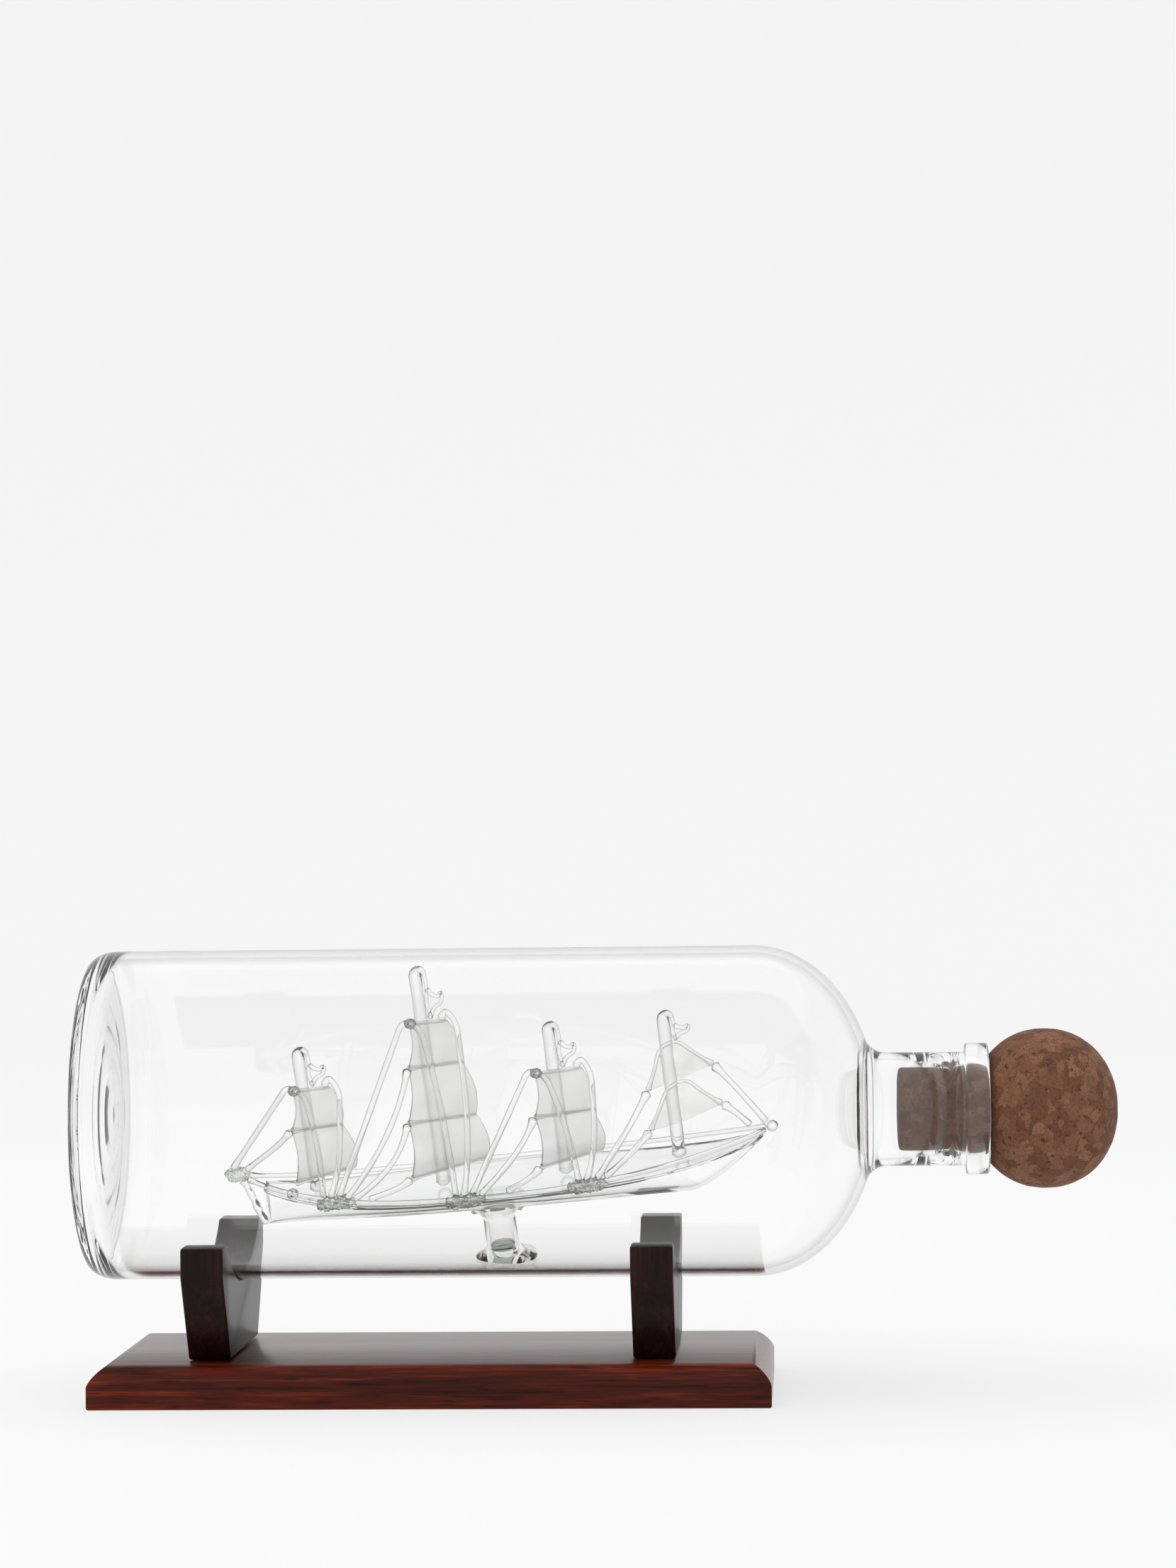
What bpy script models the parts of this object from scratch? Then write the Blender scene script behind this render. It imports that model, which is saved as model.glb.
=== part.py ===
"""A ship in a bottle: a lamp-worked glass ship in a corked glass bottle, lying on a wooden stand.

The frame stands at the middle of the stand's underside: +X runs along the bottle to the cork, +Z is up.
The ship has its own frame, an empty at the foot of its pedestal: +X to the bow, +Y to starboard, and +Z
up the masts. The ship heels to port and lifts its bow, so that empty is tilted inside the bottle.
"""

import math

import bmesh
import bpy
from mathutils import Matrix, Vector

GAP = 0.0003  # between pieces that touch or are fused

# Bottle, from the outside of its base along its axis
BOTTLE_RADIUS = 0.0475
BOTTLE_WALL = 0.002
BODY_LENGTH = 0.1916  # from the base to where the shoulder starts
SHOULDER_SWEEP = 0.0355  # half axis of the shoulder's ellipse
BASE_CORNER = (0.0035, 0.007)  # rounding of the base edge, across and along
PUSH_UP_RADIUS = 0.034
PUSH_UP_DEPTH = 0.003
BASE_THICKNESS = 0.0032
NECK_RADIUS = 0.0163
NECK_WALL = 0.0018
NECK_FLARE = 0.0029  # how much wider the neck's root is
NECK_LENGTH = 0.0278  # from the end of the shoulder to the collar
COLLAR_RADIUS = 0.01885
COLLAR_LENGTH = 0.0068
MOUTH_RADIUS = 0.0135
MOUTH_DEPTH = 0.0115  # length of the narrowed, ground mouth

# Cork stopper
PLUG_LENGTH = 0.0255
PLUG_TAPER = 0.00115  # radius lost down to the tip
BALL_RADIUS = 0.0229
BALL_HALF_LENGTH = 0.0209
BALL_FLAT_DEPTH = 0.0158  # from the ball's middle to the face that sits on the mouth
BALL_FULLNESS = 2.12  # 2 is an ellipsoid

# Stand
PLANK_WIDTH = 0.084
PLANK_THICKNESS = 0.012
PLANK_OVERHANG = 0.027  # past each cradle
PLANK_ROUNDING = 0.0056
PLANK_ARRIS = 0.0006
CRADLE_THICKNESS = 0.012
CRADLE_FROM_BASE = 0.037  # bottle base to the middle of the first cradle
CRADLE_FROM_SHOULDER = 0.0286  # middle of the second cradle to the start of the shoulder
SADDLE_HEIGHT = 0.0198  # wood under the saddle's lowest point
SADDLE_WRAP = 0.0135  # how far the arms rise beside the bottle
ARM_TIP_WIDTH = 0.0093
CRADLE_FOOT_WIDTH = 0.056
CRADLE_SLOPE_HEIGHT = 0.024  # where the sloping sides meet the upright ones
SCREW_RADIUS = 0.0018
SCREW_HEAD_RADIUS = 0.0036
SCREW_HEAD_DEPTH = 0.0026
SCREW_LENGTH = 0.0235
SCREW_RECESS = 0.0006
SCREW_SPACING = 0.032  # across the plank

# How the ship sits in the bottle
HEEL = math.radians(16)
PITCH = math.radians(5.5)
STERN_ROOM = 0.03865  # between the base's inner face and the stern
BOW_REACH = 0.00505  # how far the bow passes the start of the shoulder
MAST_CLEARANCE = 0.0021  # between the tallest mast and the glass over it

# Hull, in the ship's frame
HULL_CENTRE = 0.0045  # the hull's middle, ahead of the pedestal
HALF_BEAM = 0.016
PEDESTAL_HEIGHT = 0.0178
HULL_DEPTH = 0.0079  # keel to rail at the waist
HULL_WALL = 0.0009
KEEL_DROP = 0.002  # how much lower the keel lies at its ends than over the pedestal
KEEL_SLOPE = 0.0015  # how much the keel sinks over half the hull's length, towards the bow
STERN_RISE = 0.0078
BOW_RISE = 0.0072
STEM_START = 0.68  # where the keel turns up, as a share of the half length
HULL_ENDS = (-0.918, 0.962)
RAIL_ENDS = (-0.968, 0.968)
RAIL_RADIUS = 0.00075
PEDESTAL_RADIUS = 0.0047
PEDESTAL_WALL = 0.001
PEDESTAL_TOP_RADIUS = 0.0092
PEDESTAL_FOOT_RADIUS = 0.0095
POST_RADIUS = 0.0009
STERN_KNOT_RADIUS = 0.0022
STERN_KNOT_LENGTH = 0.0074
BOW_BEAD_RADIUS = 0.0017

# Masts, sails and stays
MAST_RADIUS = 0.00185
MAST_FOOT_FLARE = 1.4
LOW_MAST_DROP = 0.0199  # the other three masts end this far below the main mast
HOOK_OFFSET = 0.0026  # mast axis to the strand drawn down from its tip
STRAND_RADIUS = 0.0005
STRAND_CLEARANCE = 0.0012  # between the strand and the sail under it
PENNANT_RADIUS = 0.00035
PENNANT_REACH = 0.0038
ROD_RADIUS = 0.0009
SAIL_THICKNESS = 0.0009
SAIL_BELLY = 0.003
BRACE = math.radians(45)  # how far the yards are turned from the ship's length
JIB_BRACE = math.radians(20)
YARD_TILT = math.radians(12)  # the yards' far ends hang lower
FOOT_TILT = math.radians(6)  # the same for the lowest yard of a mast
TIER_GAP = 0.0003
BEAD_SPACING = 0.0024  # between two stays that land on one bead
BEAD_HALF_SIZE = (0.0056, 0.0019, 0.002)
BEAD_DROP = 0.0004  # the beads' middle, under the rail's
STAY_BOW = 0.004  # how far the stays bend out in front of the sails
STAY_DROP = 0.0012  # how far under its yard a lower stay starts
FAR_LEAN = 0.045  # how much further out a far stay runs, per metre that it comes down

# Sail plans. Each mast: its place along the hull as a share of the half length, and its yards from top
# to bottom, each with its height as a share of the mast above the rail and its two half lengths.
SAIL_PLAN = {
    "aft": (-0.722, ((0.727, 0.0055, 0.0077), (0.467, 0.0078, 0.0101), (0.136, 0.0088, 0.0130))),
    "main": (-0.247, ((0.76, 0.0065, 0.0071), (0.56, 0.0088, 0.0107), (0.307, 0.0115, 0.0131),
                      (0.072, 0.0129, 0.0153))),
    "middle": (0.216, ((0.688, 0.0091, 0.0083), (0.40, 0.0110, 0.0097), (0.09, 0.0110, 0.0127))),
}
FORE_MAST = 0.6435
# Corners of the two fore sails: along the yard from the mast, and height as a share of the mast.
JIBS = {
    "upper": ((0.0026, 0.795), (0.0125, 0.6), (0.0005, 0.545), (-0.0078, 0.515), (-0.0025, 0.775)),
    "lower": ((0.0036, 0.53), (0.0138, 0.325), (0.0017, 0.265), (-0.0085, 0.25), (-0.0018, 0.5)),
}
# Joint beads along the port rail, as shares of the half length, and where each stay lands on them:
# its bead, and its place from the bead's middle in stay spacings.
BEADS = {"aft": -0.633, "main": -0.1475, "middle": 0.307}
LANDINGS = {
    "aft": ((), (("aft", -1.6), ("aft", -0.7))),
    "main": ((("aft", 0.3), ("aft", 1.25), ("aft", 2.2), ("aft", 4)), (("main", -1.1), ("main", -0.15))),
    "middle": ((("main", 0.8), ("main", 1.8), ("main", 5)), (("middle", -1), ("middle", -0.1))),
    "fore": ((("middle", 1.1), ("middle", 2.1)), ()),
}

TURNED_STEPS = 48
FINE_STEPS = 24
SCREW_STEPS = 12

BORE_RADIUS = BOTTLE_RADIUS - BOTTLE_WALL
SHOULDER_RADIUS = NECK_RADIUS + NECK_FLARE
SHOULDER_LENGTH = SHOULDER_SWEEP * math.sqrt(1 - (SHOULDER_RADIUS / BOTTLE_RADIUS) ** 2)
COLLAR_START = BODY_LENGTH + SHOULDER_LENGTH + NECK_LENGTH
BOTTLE_LENGTH = COLLAR_START + COLLAR_LENGTH
CRADLE_SPACING = BODY_LENGTH - CRADLE_FROM_BASE - CRADLE_FROM_SHOULDER
BASE_X = -CRADLE_SPACING / 2 - CRADLE_FROM_BASE
AXIS_Z = PLANK_THICKNESS + SADDLE_HEIGHT + BOTTLE_RADIUS + 2 * GAP
HALF_LENGTH = (BODY_LENGTH - BASE_THICKNESS - STERN_ROOM + BOW_REACH) / (2 * math.cos(PITCH))
WAIST = PEDESTAL_HEIGHT + HULL_DEPTH
SAIL_OFFSET = MAST_RADIUS + GAP + SAIL_THICKNESS / 2


# ---- Blender helpers ----


def clear_scene():
    for obj in list(bpy.data.objects):
        bpy.data.objects.remove(obj, do_unlink=True)


def collection(name):
    made = bpy.data.collections.new(name)
    bpy.context.scene.collection.children.link(made)
    return made


def finish(name, colour, roughness, metallic=0.0, transmission=0.0):
    material = bpy.data.materials.new(name)
    material.use_nodes = True
    shader = material.node_tree.nodes["Principled BSDF"]
    shader.inputs["Base Color"].default_value = (*colour, 1)
    shader.inputs["Roughness"].default_value = roughness
    shader.inputs["Metallic"].default_value = metallic
    shader.inputs["Transmission Weight"].default_value = transmission
    return material


def add_object(name, data, home, material=None, parent=None, matrix=None):
    obj = bpy.data.objects.new(name, data)
    home.objects.link(obj)
    if parent:
        obj.parent = parent
    if matrix:
        obj.matrix_local = matrix
    if material:
        data.materials.append(material)
    return obj


def mesh_object(name, shape, home, material=None, parent=None, matrix=None):
    """An object from a bmesh, which is used up."""
    mesh = bpy.data.meshes.new(name)
    shape.to_mesh(mesh)
    shape.free()
    return add_object(name, mesh, home, material, parent, matrix)


def turned(name, profile, home, material=None, parent=None, matrix=None, steps=TURNED_STEPS):
    """Turns (radius, height) points about local Z. The profile runs down the outer side."""
    mesh = bpy.data.meshes.new(name)
    points = [(radius, 0, height) for radius, height in profile]
    mesh.from_pydata(points, [(i, i + 1) for i in range(len(points) - 1)], [])
    obj = add_object(name, mesh, home, material, parent, matrix)
    screw = obj.modifiers.new("Turn", "SCREW")
    screw.steps = screw.render_steps = steps
    screw.use_merge_vertices = True
    screw.merge_threshold = 0.00001
    weld = obj.modifiers.new("Poles", "WELD")
    weld.merge_threshold = 0.00001
    return obj


def tube(name, points, radius, home, material, parent=None, tapers=None):
    """A round rod through the points, with flat ends. tapers scales the radius at each point."""
    curve = bpy.data.curves.new(name, "CURVE")
    curve.dimensions = "3D"
    curve.bevel_depth = radius
    curve.bevel_resolution = 2
    curve.use_fill_caps = True
    spline = curve.splines.new("POLY")
    spline.points.add(len(points) - 1)
    for i, (spot, point) in enumerate(zip(spline.points, points)):
        spot.co = (*point, 1)
        spot.radius = tapers[i] if tapers else 1
    return add_object(name, curve, home, material, parent)


def flat_plate(name, outline, thickness, home, material, parent=None, matrix=None):
    """A flat plate with this outline in its local XY plane."""
    curve = bpy.data.curves.new(name, "CURVE")
    curve.dimensions = "2D"
    curve.fill_mode = "BOTH"
    curve.extrude = thickness / 2
    spline = curve.splines.new("POLY")
    spline.points.add(len(outline) - 1)
    for spot, point in zip(spline.points, outline):
        spot.co = (*point, 0, 1)
    spline.use_cyclic_u = True
    return add_object(name, curve, home, material, parent, matrix)


def as_mesh(obj, home):
    """The same solid as a mesh object, so that it can be cut."""
    graph = bpy.context.evaluated_depsgraph_get()
    mesh = bpy.data.meshes.new_from_object(obj.evaluated_get(graph))
    shape = bmesh.new()
    shape.from_mesh(mesh)
    bmesh.ops.remove_doubles(shape, verts=shape.verts, dist=0.00001)
    shape.to_mesh(mesh)
    shape.free()
    name, matrix, curve = obj.name, obj.matrix_world.copy(), obj.data
    bpy.data.objects.remove(obj, do_unlink=True)
    bpy.data.curves.remove(curve)
    made = bpy.data.objects.new(name, mesh)
    made.matrix_world = matrix
    home.objects.link(made)
    return made


def cut(obj, cutter, operation="DIFFERENCE"):
    cutter.hide_render = True
    cutter.display_type = "WIRE"
    modifier = obj.modifiers.new(cutter.name, "BOOLEAN")
    modifier.operation = operation
    modifier.object = cutter


def quarter(centre, across, along, start, steps=4):
    """Points on a quarter ellipse round a centre, from the start angle in quarter turns, clockwise."""
    angles = [(start - i / steps) * math.pi / 2 for i in range(steps + 1)]
    return [(centre[0] + across * math.cos(a), centre[1] + along * math.sin(a)) for a in angles]


# ---- Stand ----


def screw_places():
    return [
        (x, y)
        for x in (-CRADLE_SPACING / 2, CRADLE_SPACING / 2)
        for y in (-SCREW_SPACING / 2, SCREW_SPACING / 2)
    ]


def screw_profile(clearance):
    """A countersunk wood screw driven from below, or with a clearance the hole that it goes in."""
    head = SCREW_HEAD_RADIUS + clearance
    shank = SCREW_RADIUS + clearance
    bottom = SCREW_RECESS - (SCREW_RECESS + GAP if clearance else 0)
    neck = SCREW_RECESS + SCREW_HEAD_DEPTH
    tip = SCREW_RECESS + SCREW_LENGTH + clearance
    return [
        (0, tip),
        (shank / 3, tip),
        (shank, tip - 3 * SCREW_RADIUS),
        (shank, neck),
        (head, SCREW_RECESS + clearance),
        (head, bottom),
        (0, bottom),
    ]


def four_screws(clearance, home, material=None):
    """The four screws, or the cutters for their holes."""
    kind = "hole" if clearance else "screw"
    return [
        turned(
            f"cradle_{kind}_{i + 1}", screw_profile(clearance), home, material,
            matrix=Matrix.Translation((x, y, 0)), steps=SCREW_STEPS,
        )
        for i, (x, y) in enumerate(screw_places())
    ]


def make_plank(home, cutters, wood):
    length = CRADLE_SPACING + CRADLE_THICKNESS + 2 * PLANK_OVERHANG
    size = Vector((length, PLANK_WIDTH, PLANK_THICKNESS))
    shape = bmesh.new()
    bmesh.ops.create_cube(shape, size=1)
    bmesh.ops.scale(shape, vec=size, verts=shape.verts)
    bmesh.ops.translate(shape, vec=(0, 0, PLANK_THICKNESS / 2), verts=shape.verts)
    for height, width, steps in ((PLANK_THICKNESS, PLANK_ROUNDING, 5), (0, PLANK_ARRIS, 1)):
        edges = [e for e in shape.edges if all(abs(v.co.z - height) < GAP for v in e.verts)]
        bmesh.ops.bevel(
            shape, geom=edges, offset=width, segments=steps, profile=0.5, affect="EDGES"
        )
    plank = mesh_object("stand_base", shape, home, wood)
    holes = four_screws(GAP, cutters)
    for hole in holes:
        cut(plank, hole)
    return holes


def cradle_outline():
    """Half of the cradle from the middle of its foot round to the middle of its saddle, then mirrored."""
    saddle = BOTTLE_RADIUS + GAP
    tip_z = PLANK_THICKNESS + SADDLE_HEIGHT + SADDLE_WRAP
    floor_z = AXIS_Z - saddle
    wrap = math.acos((AXIS_Z - tip_z) / saddle)
    tip_y = saddle * math.sin(wrap)
    side = tip_y + ARM_TIP_WIDTH
    half = [
        (CRADLE_FOOT_WIDTH / 2, PLANK_THICKNESS + GAP),
        (side, PLANK_THICKNESS + CRADLE_SLOPE_HEIGHT),
        (side, tip_z - PLANK_ARRIS),
        (side - PLANK_ARRIS, tip_z),
        (tip_y + PLANK_ARRIS, tip_z),
    ]
    arc_steps = 10
    for i in range(arc_steps):
        angle = wrap * (1 - i / arc_steps)
        half.append((saddle * math.sin(angle), AXIS_Z - saddle * math.cos(angle)))
    return half + [(0, floor_z)] + [(-y, z) for y, z in reversed(half)]


def make_cradles(home, wood, holes):
    stand_up = Matrix(((0, 0, 1, 0), (1, 0, 0, 0), (0, 1, 0, 0), (0, 0, 0, 1)))
    for name, x in (("cradle_left", -CRADLE_SPACING / 2), ("cradle_right", CRADLE_SPACING / 2)):
        plate = flat_plate(
            name, cradle_outline(), CRADLE_THICKNESS, home, wood,
            matrix=Matrix.Translation((x, 0, 0)) @ stand_up,
        )
        bpy.context.view_layer.update()
        cradle = as_mesh(plate, home)
        for hole in holes:
            if hole.location.x * x > 0:
                cut(cradle, hole)


# ---- Bottle and cork ----


def shoulder_curve(radius, sweep, end_radius, steps=10):
    """(radius, height) points on the shoulder's ellipse, from the body to the neck."""
    last = math.acos(min(1, end_radius / radius))
    points = []
    for i in range(steps + 1):
        angle = last * i / steps
        points.append((radius * math.cos(angle), BODY_LENGTH + sweep * math.sin(angle)))
    return points


def bottle_profile():
    """Up the inside from the base to the mouth, over the lip, and down the outside."""
    neck_bore = NECK_RADIUS - NECK_WALL
    root_z = BODY_LENGTH + SHOULDER_LENGTH
    flare_length = 2 * NECK_FLARE
    corner_r, corner_z = BASE_CORNER
    inner_corner = (BORE_RADIUS - corner_r, BASE_THICKNESS + corner_z)
    bevel = 0.0008
    inside = [(0, BASE_THICKNESS + PUSH_UP_DEPTH)]
    inside += [(PUSH_UP_RADIUS / 2, BASE_THICKNESS + 0.8 * PUSH_UP_DEPTH)]
    inside += [(PUSH_UP_RADIUS, BASE_THICKNESS)]
    inside += reversed(quarter(inner_corner, corner_r, corner_z, 0))
    inside += shoulder_curve(BORE_RADIUS, SHOULDER_SWEEP - BOTTLE_WALL, neck_bore + NECK_FLARE)
    inside += [(neck_bore + NECK_FLARE / 4, root_z + flare_length / 3), (neck_bore, root_z + flare_length)]
    inside += [(neck_bore, BOTTLE_LENGTH - MOUTH_DEPTH), (MOUTH_RADIUS, BOTTLE_LENGTH - 0.8 * MOUTH_DEPTH)]
    inside += [(MOUTH_RADIUS, BOTTLE_LENGTH)]
    outside = [
        (COLLAR_RADIUS - bevel, BOTTLE_LENGTH),
        (COLLAR_RADIUS, BOTTLE_LENGTH - bevel),
        (COLLAR_RADIUS, COLLAR_START + bevel),
        (COLLAR_RADIUS - bevel, COLLAR_START),
        (NECK_RADIUS, COLLAR_START),
        (NECK_RADIUS, root_z + flare_length),
        (NECK_RADIUS + NECK_FLARE / 4, root_z + flare_length / 3),
    ]
    outside += reversed(shoulder_curve(BOTTLE_RADIUS, SHOULDER_SWEEP, SHOULDER_RADIUS))
    outside += quarter((BOTTLE_RADIUS - corner_r, corner_z), corner_r, corner_z, 0)
    outside += [(PUSH_UP_RADIUS, 0), (PUSH_UP_RADIUS / 2, 0.8 * PUSH_UP_DEPTH), (0, PUSH_UP_DEPTH)]
    return inside + outside


def along_bottle(height):
    """The frame of a turned piece whose zero lies this far along the bottle from its base."""
    return Matrix.Translation((BASE_X + height, 0, AXIS_Z)) @ Matrix.Rotation(math.pi / 2, 4, "Y")


def stopper_profile():
    """The ball from its end down to its flat face, and the plug from there to its tip."""
    flat = -BALL_FLAT_DEPTH
    points = []
    steps = 14
    last = math.acos(flat / BALL_HALF_LENGTH)
    for i in range(steps + 1):
        height = BALL_HALF_LENGTH * math.cos(last * i / steps)
        share = abs(height / BALL_HALF_LENGTH) ** BALL_FULLNESS
        points.append((BALL_RADIUS * max(0, 1 - share) ** (1 / BALL_FULLNESS), height))
    top = MOUTH_RADIUS - GAP
    tip = top - PLUG_TAPER
    edge = 0.0008
    points += [(top, flat), (tip, flat - PLUG_LENGTH + edge), (tip - edge, flat - PLUG_LENGTH)]
    return points + [(0, flat - PLUG_LENGTH)]


# ---- Ship ----


def ship_frame(home):
    """An empty where the pedestal meets the glass, tilted by the ship's heel and pitch."""
    tilt = Matrix.Rotation(HEEL, 4, "X") @ Matrix.Rotation(-PITCH, 4, "Y")
    aft = (HALF_LENGTH - HULL_CENTRE) * math.cos(PITCH) + (WAIST + STERN_RISE) * math.sin(PITCH)
    foot = Vector((
        BASE_X + BASE_THICKNESS + STERN_ROOM + aft,
        BORE_RADIUS * math.sin(HEEL),
        AXIS_Z - BORE_RADIUS * math.cos(HEEL),
    ))
    empty = bpy.data.objects.new("ship_frame", None)
    home.objects.link(empty)
    empty.matrix_world = Matrix.Translation(foot) @ tilt
    return empty


def at(share):
    """Distance along the ship of a share of the hull's half length."""
    return HULL_CENTRE + share * HALF_LENGTH


def half_beam(x):
    """Half the hull's width at the rails. The run aft is fuller than the bow."""
    share = (x - HULL_CENTRE) / HALF_LENGTH
    if share < 0:
        return HALF_BEAM * max(0, 1 - abs(share) ** 2.6) ** 0.9
    return HALF_BEAM * max(0, 1 - share ** 2) ** 0.85


def rail_height(x):
    """The rails' sweep up to the stern and the bow."""
    share = (x - HULL_CENTRE) / HALF_LENGTH
    return WAIST + (STERN_RISE * abs(share) ** 3.6 if share < 0 else BOW_RISE * share ** 2.2)


def deck_height(x):
    """The deck sweeps up later than the rails do."""
    share = (x - HULL_CENTRE) / HALF_LENGTH
    rise = STERN_RISE * abs(share) ** 4.5 if share < 0 else BOW_RISE * share ** 3.5
    return WAIST - RAIL_RADIUS - GAP + rise


def keel_height(x):
    share = (x - HULL_CENTRE) / HALF_LENGTH
    run = PEDESTAL_HEIGHT + GAP - KEEL_SLOPE * share - KEEL_DROP * share ** 2
    if share < STEM_START:
        return run
    climb = ((share - STEM_START) / (1 - STEM_START)) ** 1.3
    return run + climb * (WAIST + BOW_RISE - run)


def hull_solid(name, home, inset, ends, material=None, parent=None, stations=22, ribs=10):
    """A closed hull lofted through U-shaped sections, drawn in by the inset all round."""
    shape = bmesh.new()
    rings = []
    for i in range(stations + 1):
        x = at(ends[0] + (ends[1] - ends[0]) * i / stations)
        beam = half_beam(x) - inset
        top = deck_height(x) - inset
        depth = top - keel_height(x) - inset
        ring = []
        for j in range(2 * ribs + 1):
            angle = math.pi / 2 * (j / ribs - 1)
            ring.append(shape.verts.new((x, beam * math.sin(angle), top - depth * math.cos(angle))))
        rings.append(ring)
    for first, second in zip(rings, rings[1:]):
        for j in range(len(first)):
            k = (j + 1) % len(first)
            shape.faces.new((first[j], first[k], second[k], second[j]))
    shape.faces.new(rings[0])
    shape.faces.new(rings[-1])
    bmesh.ops.recalc_face_normals(shape, faces=shape.faces)
    return mesh_object(name, shape, home, material, parent)


def make_hull(home, cutters, glass, ship):
    hull = hull_solid("hull", home, 0, HULL_ENDS, glass, ship)
    inside = (HULL_ENDS[0] + 0.03, HULL_ENDS[1] - 0.13)
    cut(hull, hull_solid("hull_cavity", cutters, HULL_WALL, inside, parent=ship))
    bore = PEDESTAL_RADIUS - PEDESTAL_WALL
    hole = [(0, WAIST - HULL_DEPTH / 2), (bore, WAIST - HULL_DEPTH / 2), (bore, 0), (0, 0)]
    cut(hull, turned("hull_bore", hole, cutters, parent=ship, steps=FINE_STEPS))


def make_pedestal(home, cutters, glass, ship):
    """A hollow spool that opens into the hull and ends in a foot on the bottle's inner wall."""
    top = keel_height(PEDESTAL_TOP_RADIUS) - GAP
    lip = 0.0006
    bore = PEDESTAL_RADIUS - PEDESTAL_WALL
    flare = PEDESTAL_TOP_RADIUS - PEDESTAL_RADIUS
    spread = PEDESTAL_FOOT_RADIUS - PEDESTAL_RADIUS
    profile = [(bore, top), (PEDESTAL_TOP_RADIUS, top), (PEDESTAL_TOP_RADIUS, top - lip)]
    profile += [(PEDESTAL_RADIUS + flare * s * s, top - lip - flare * (1 - s)) for s in (0.7, 0.4, 0)]
    profile += [(PEDESTAL_RADIUS + spread * s * s, spread * (1.2 - s) / 2) for s in (0, 0.4, 0.7, 1)]
    under = -0.002
    profile += [(PEDESTAL_FOOT_RADIUS, under), (bore, under), (bore, top)]
    pedestal = turned("pedestal", profile, home, glass, ship, steps=FINE_STEPS)
    length = 4 * PEDESTAL_FOOT_RADIUS
    inside = BORE_RADIUS - GAP
    shape = bmesh.new()
    bmesh.ops.create_cone(
        shape, cap_ends=True, segments=2 * TURNED_STEPS, radius1=inside, radius2=inside, depth=length
    )
    foot = ship.matrix_world.translation.x
    place = Matrix.Translation((foot, 0, AXIS_Z)) @ Matrix.Rotation(math.pi / 2, 4, "Y")
    cut(pedestal, mesh_object("bottle_bore", shape, cutters, matrix=place), "INTERSECT")


def rail_tube(name, side, radius, home, glass, ship):
    """A rod along one side of the hull: side is -1 to port and 1 to starboard."""
    steps = 20
    points = []
    for i in range(steps + 1):
        x = at(RAIL_ENDS[0] + (RAIL_ENDS[1] - RAIL_ENDS[0]) * i / steps)
        points.append((x, side * half_beam(x), rail_height(x)))
    return tube(name, points, radius, home, glass, ship)


def make_rails(home, glass, ship):
    rail_tube("port_rail", -1, RAIL_RADIUS, home, glass, ship)
    rail_tube("starboard_rail", 1, RAIL_RADIUS, home, glass, ship)


def stern_knot():
    return Vector((at(-1) - STERN_KNOT_LENGTH / 6, 0, WAIST + STERN_RISE + STERN_KNOT_RADIUS / 4))


def bow_bead():
    return Vector((at(1), 0, WAIST + BOW_RISE))


def drop_of_glass(name, half_size, place, home, glass=None, parent=None):
    shape = bmesh.new()
    bmesh.ops.create_uvsphere(shape, u_segments=12, v_segments=8, radius=1)
    bmesh.ops.scale(shape, vec=half_size, verts=shape.verts)
    return mesh_object(name, shape, home, glass, parent, Matrix.Translation(place))


def make_ends(home, glass, ship):
    """The knots of glass that gather the rails at stern and bow, and the post under the stern knot."""
    knot_size = (STERN_KNOT_LENGTH / 2, STERN_KNOT_RADIUS, STERN_KNOT_RADIUS)
    drop_of_glass("stern_knot", knot_size, stern_knot(), home, glass, ship)
    drop_of_glass("bow_bead", (BOW_BEAD_RADIUS,) * 3, bow_bead(), home, glass, ship)
    foot_x = at(HULL_ENDS[0]) - POST_RADIUS - GAP
    low = keel_height(foot_x) - POST_RADIUS / 2
    high = stern_knot().z - STERN_KNOT_RADIUS - GAP
    top_x = stern_knot().x + STERN_KNOT_LENGTH / 6
    tube("stern_post", [(foot_x, 0, low), (top_x, 0, high)], POST_RADIUS, home, glass, ship)


def landing(bead, slot):
    """Where a stay lands: on a bead, or past its end on the port rail itself."""
    x = at(BEADS[bead]) + slot * BEAD_SPACING
    length, _, height = BEAD_HALF_SIZE
    along = (x - at(BEADS[bead])) / length
    top = max(RAIL_RADIUS, height * math.sqrt(max(0, 1 - along * along)) - BEAD_DROP)
    return Vector((x, -half_beam(x), rail_height(x) + top + GAP + ROD_RADIUS))


def make_beads(home, cutters, glass, ship):
    """The lumps round the port rail where the stays are gathered, cut clear of the rail and the hull."""
    rail = rail_tube("rail_bore", -1, RAIL_RADIUS + GAP, cutters, None, ship)
    bpy.context.view_layer.update()
    rail = as_mesh(rail, cutters)
    side = hull_solid("hull_side", cutters, -GAP, HULL_ENDS, parent=ship)
    for name, share in BEADS.items():
        x = at(share)
        place = (x, -half_beam(x), rail_height(x) - BEAD_DROP)
        bead = drop_of_glass("joint_bead_" + name, BEAD_HALF_SIZE, place, home, glass, ship)
        cut(bead, rail)
        cut(bead, side)


def mast_top(mast):
    """Height of a mast's tip in the ship's frame. The main mast fills the bottle, less its clearance."""
    main = at(SAIL_PLAN["main"][0])
    tallest = (2 * BORE_RADIUS - MAST_CLEARANCE - main * math.sin(PITCH)) / math.cos(PITCH)
    return tallest if mast == "main" else tallest - LOW_MAST_DROP


def mast_x(mast):
    return at(FORE_MAST if mast == "fore" else SAIL_PLAN[mast][0])


def up_mast(mast, share):
    """Height at a share of the mast between the rail at the waist and its tip."""
    return WAIST + share * (mast_top(mast) - WAIST)


def sail_top(mast):
    if mast == "fore":
        return up_mast(mast, JIBS["upper"][0][1])
    return up_mast(mast, SAIL_PLAN[mast][1][0][0])


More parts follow.
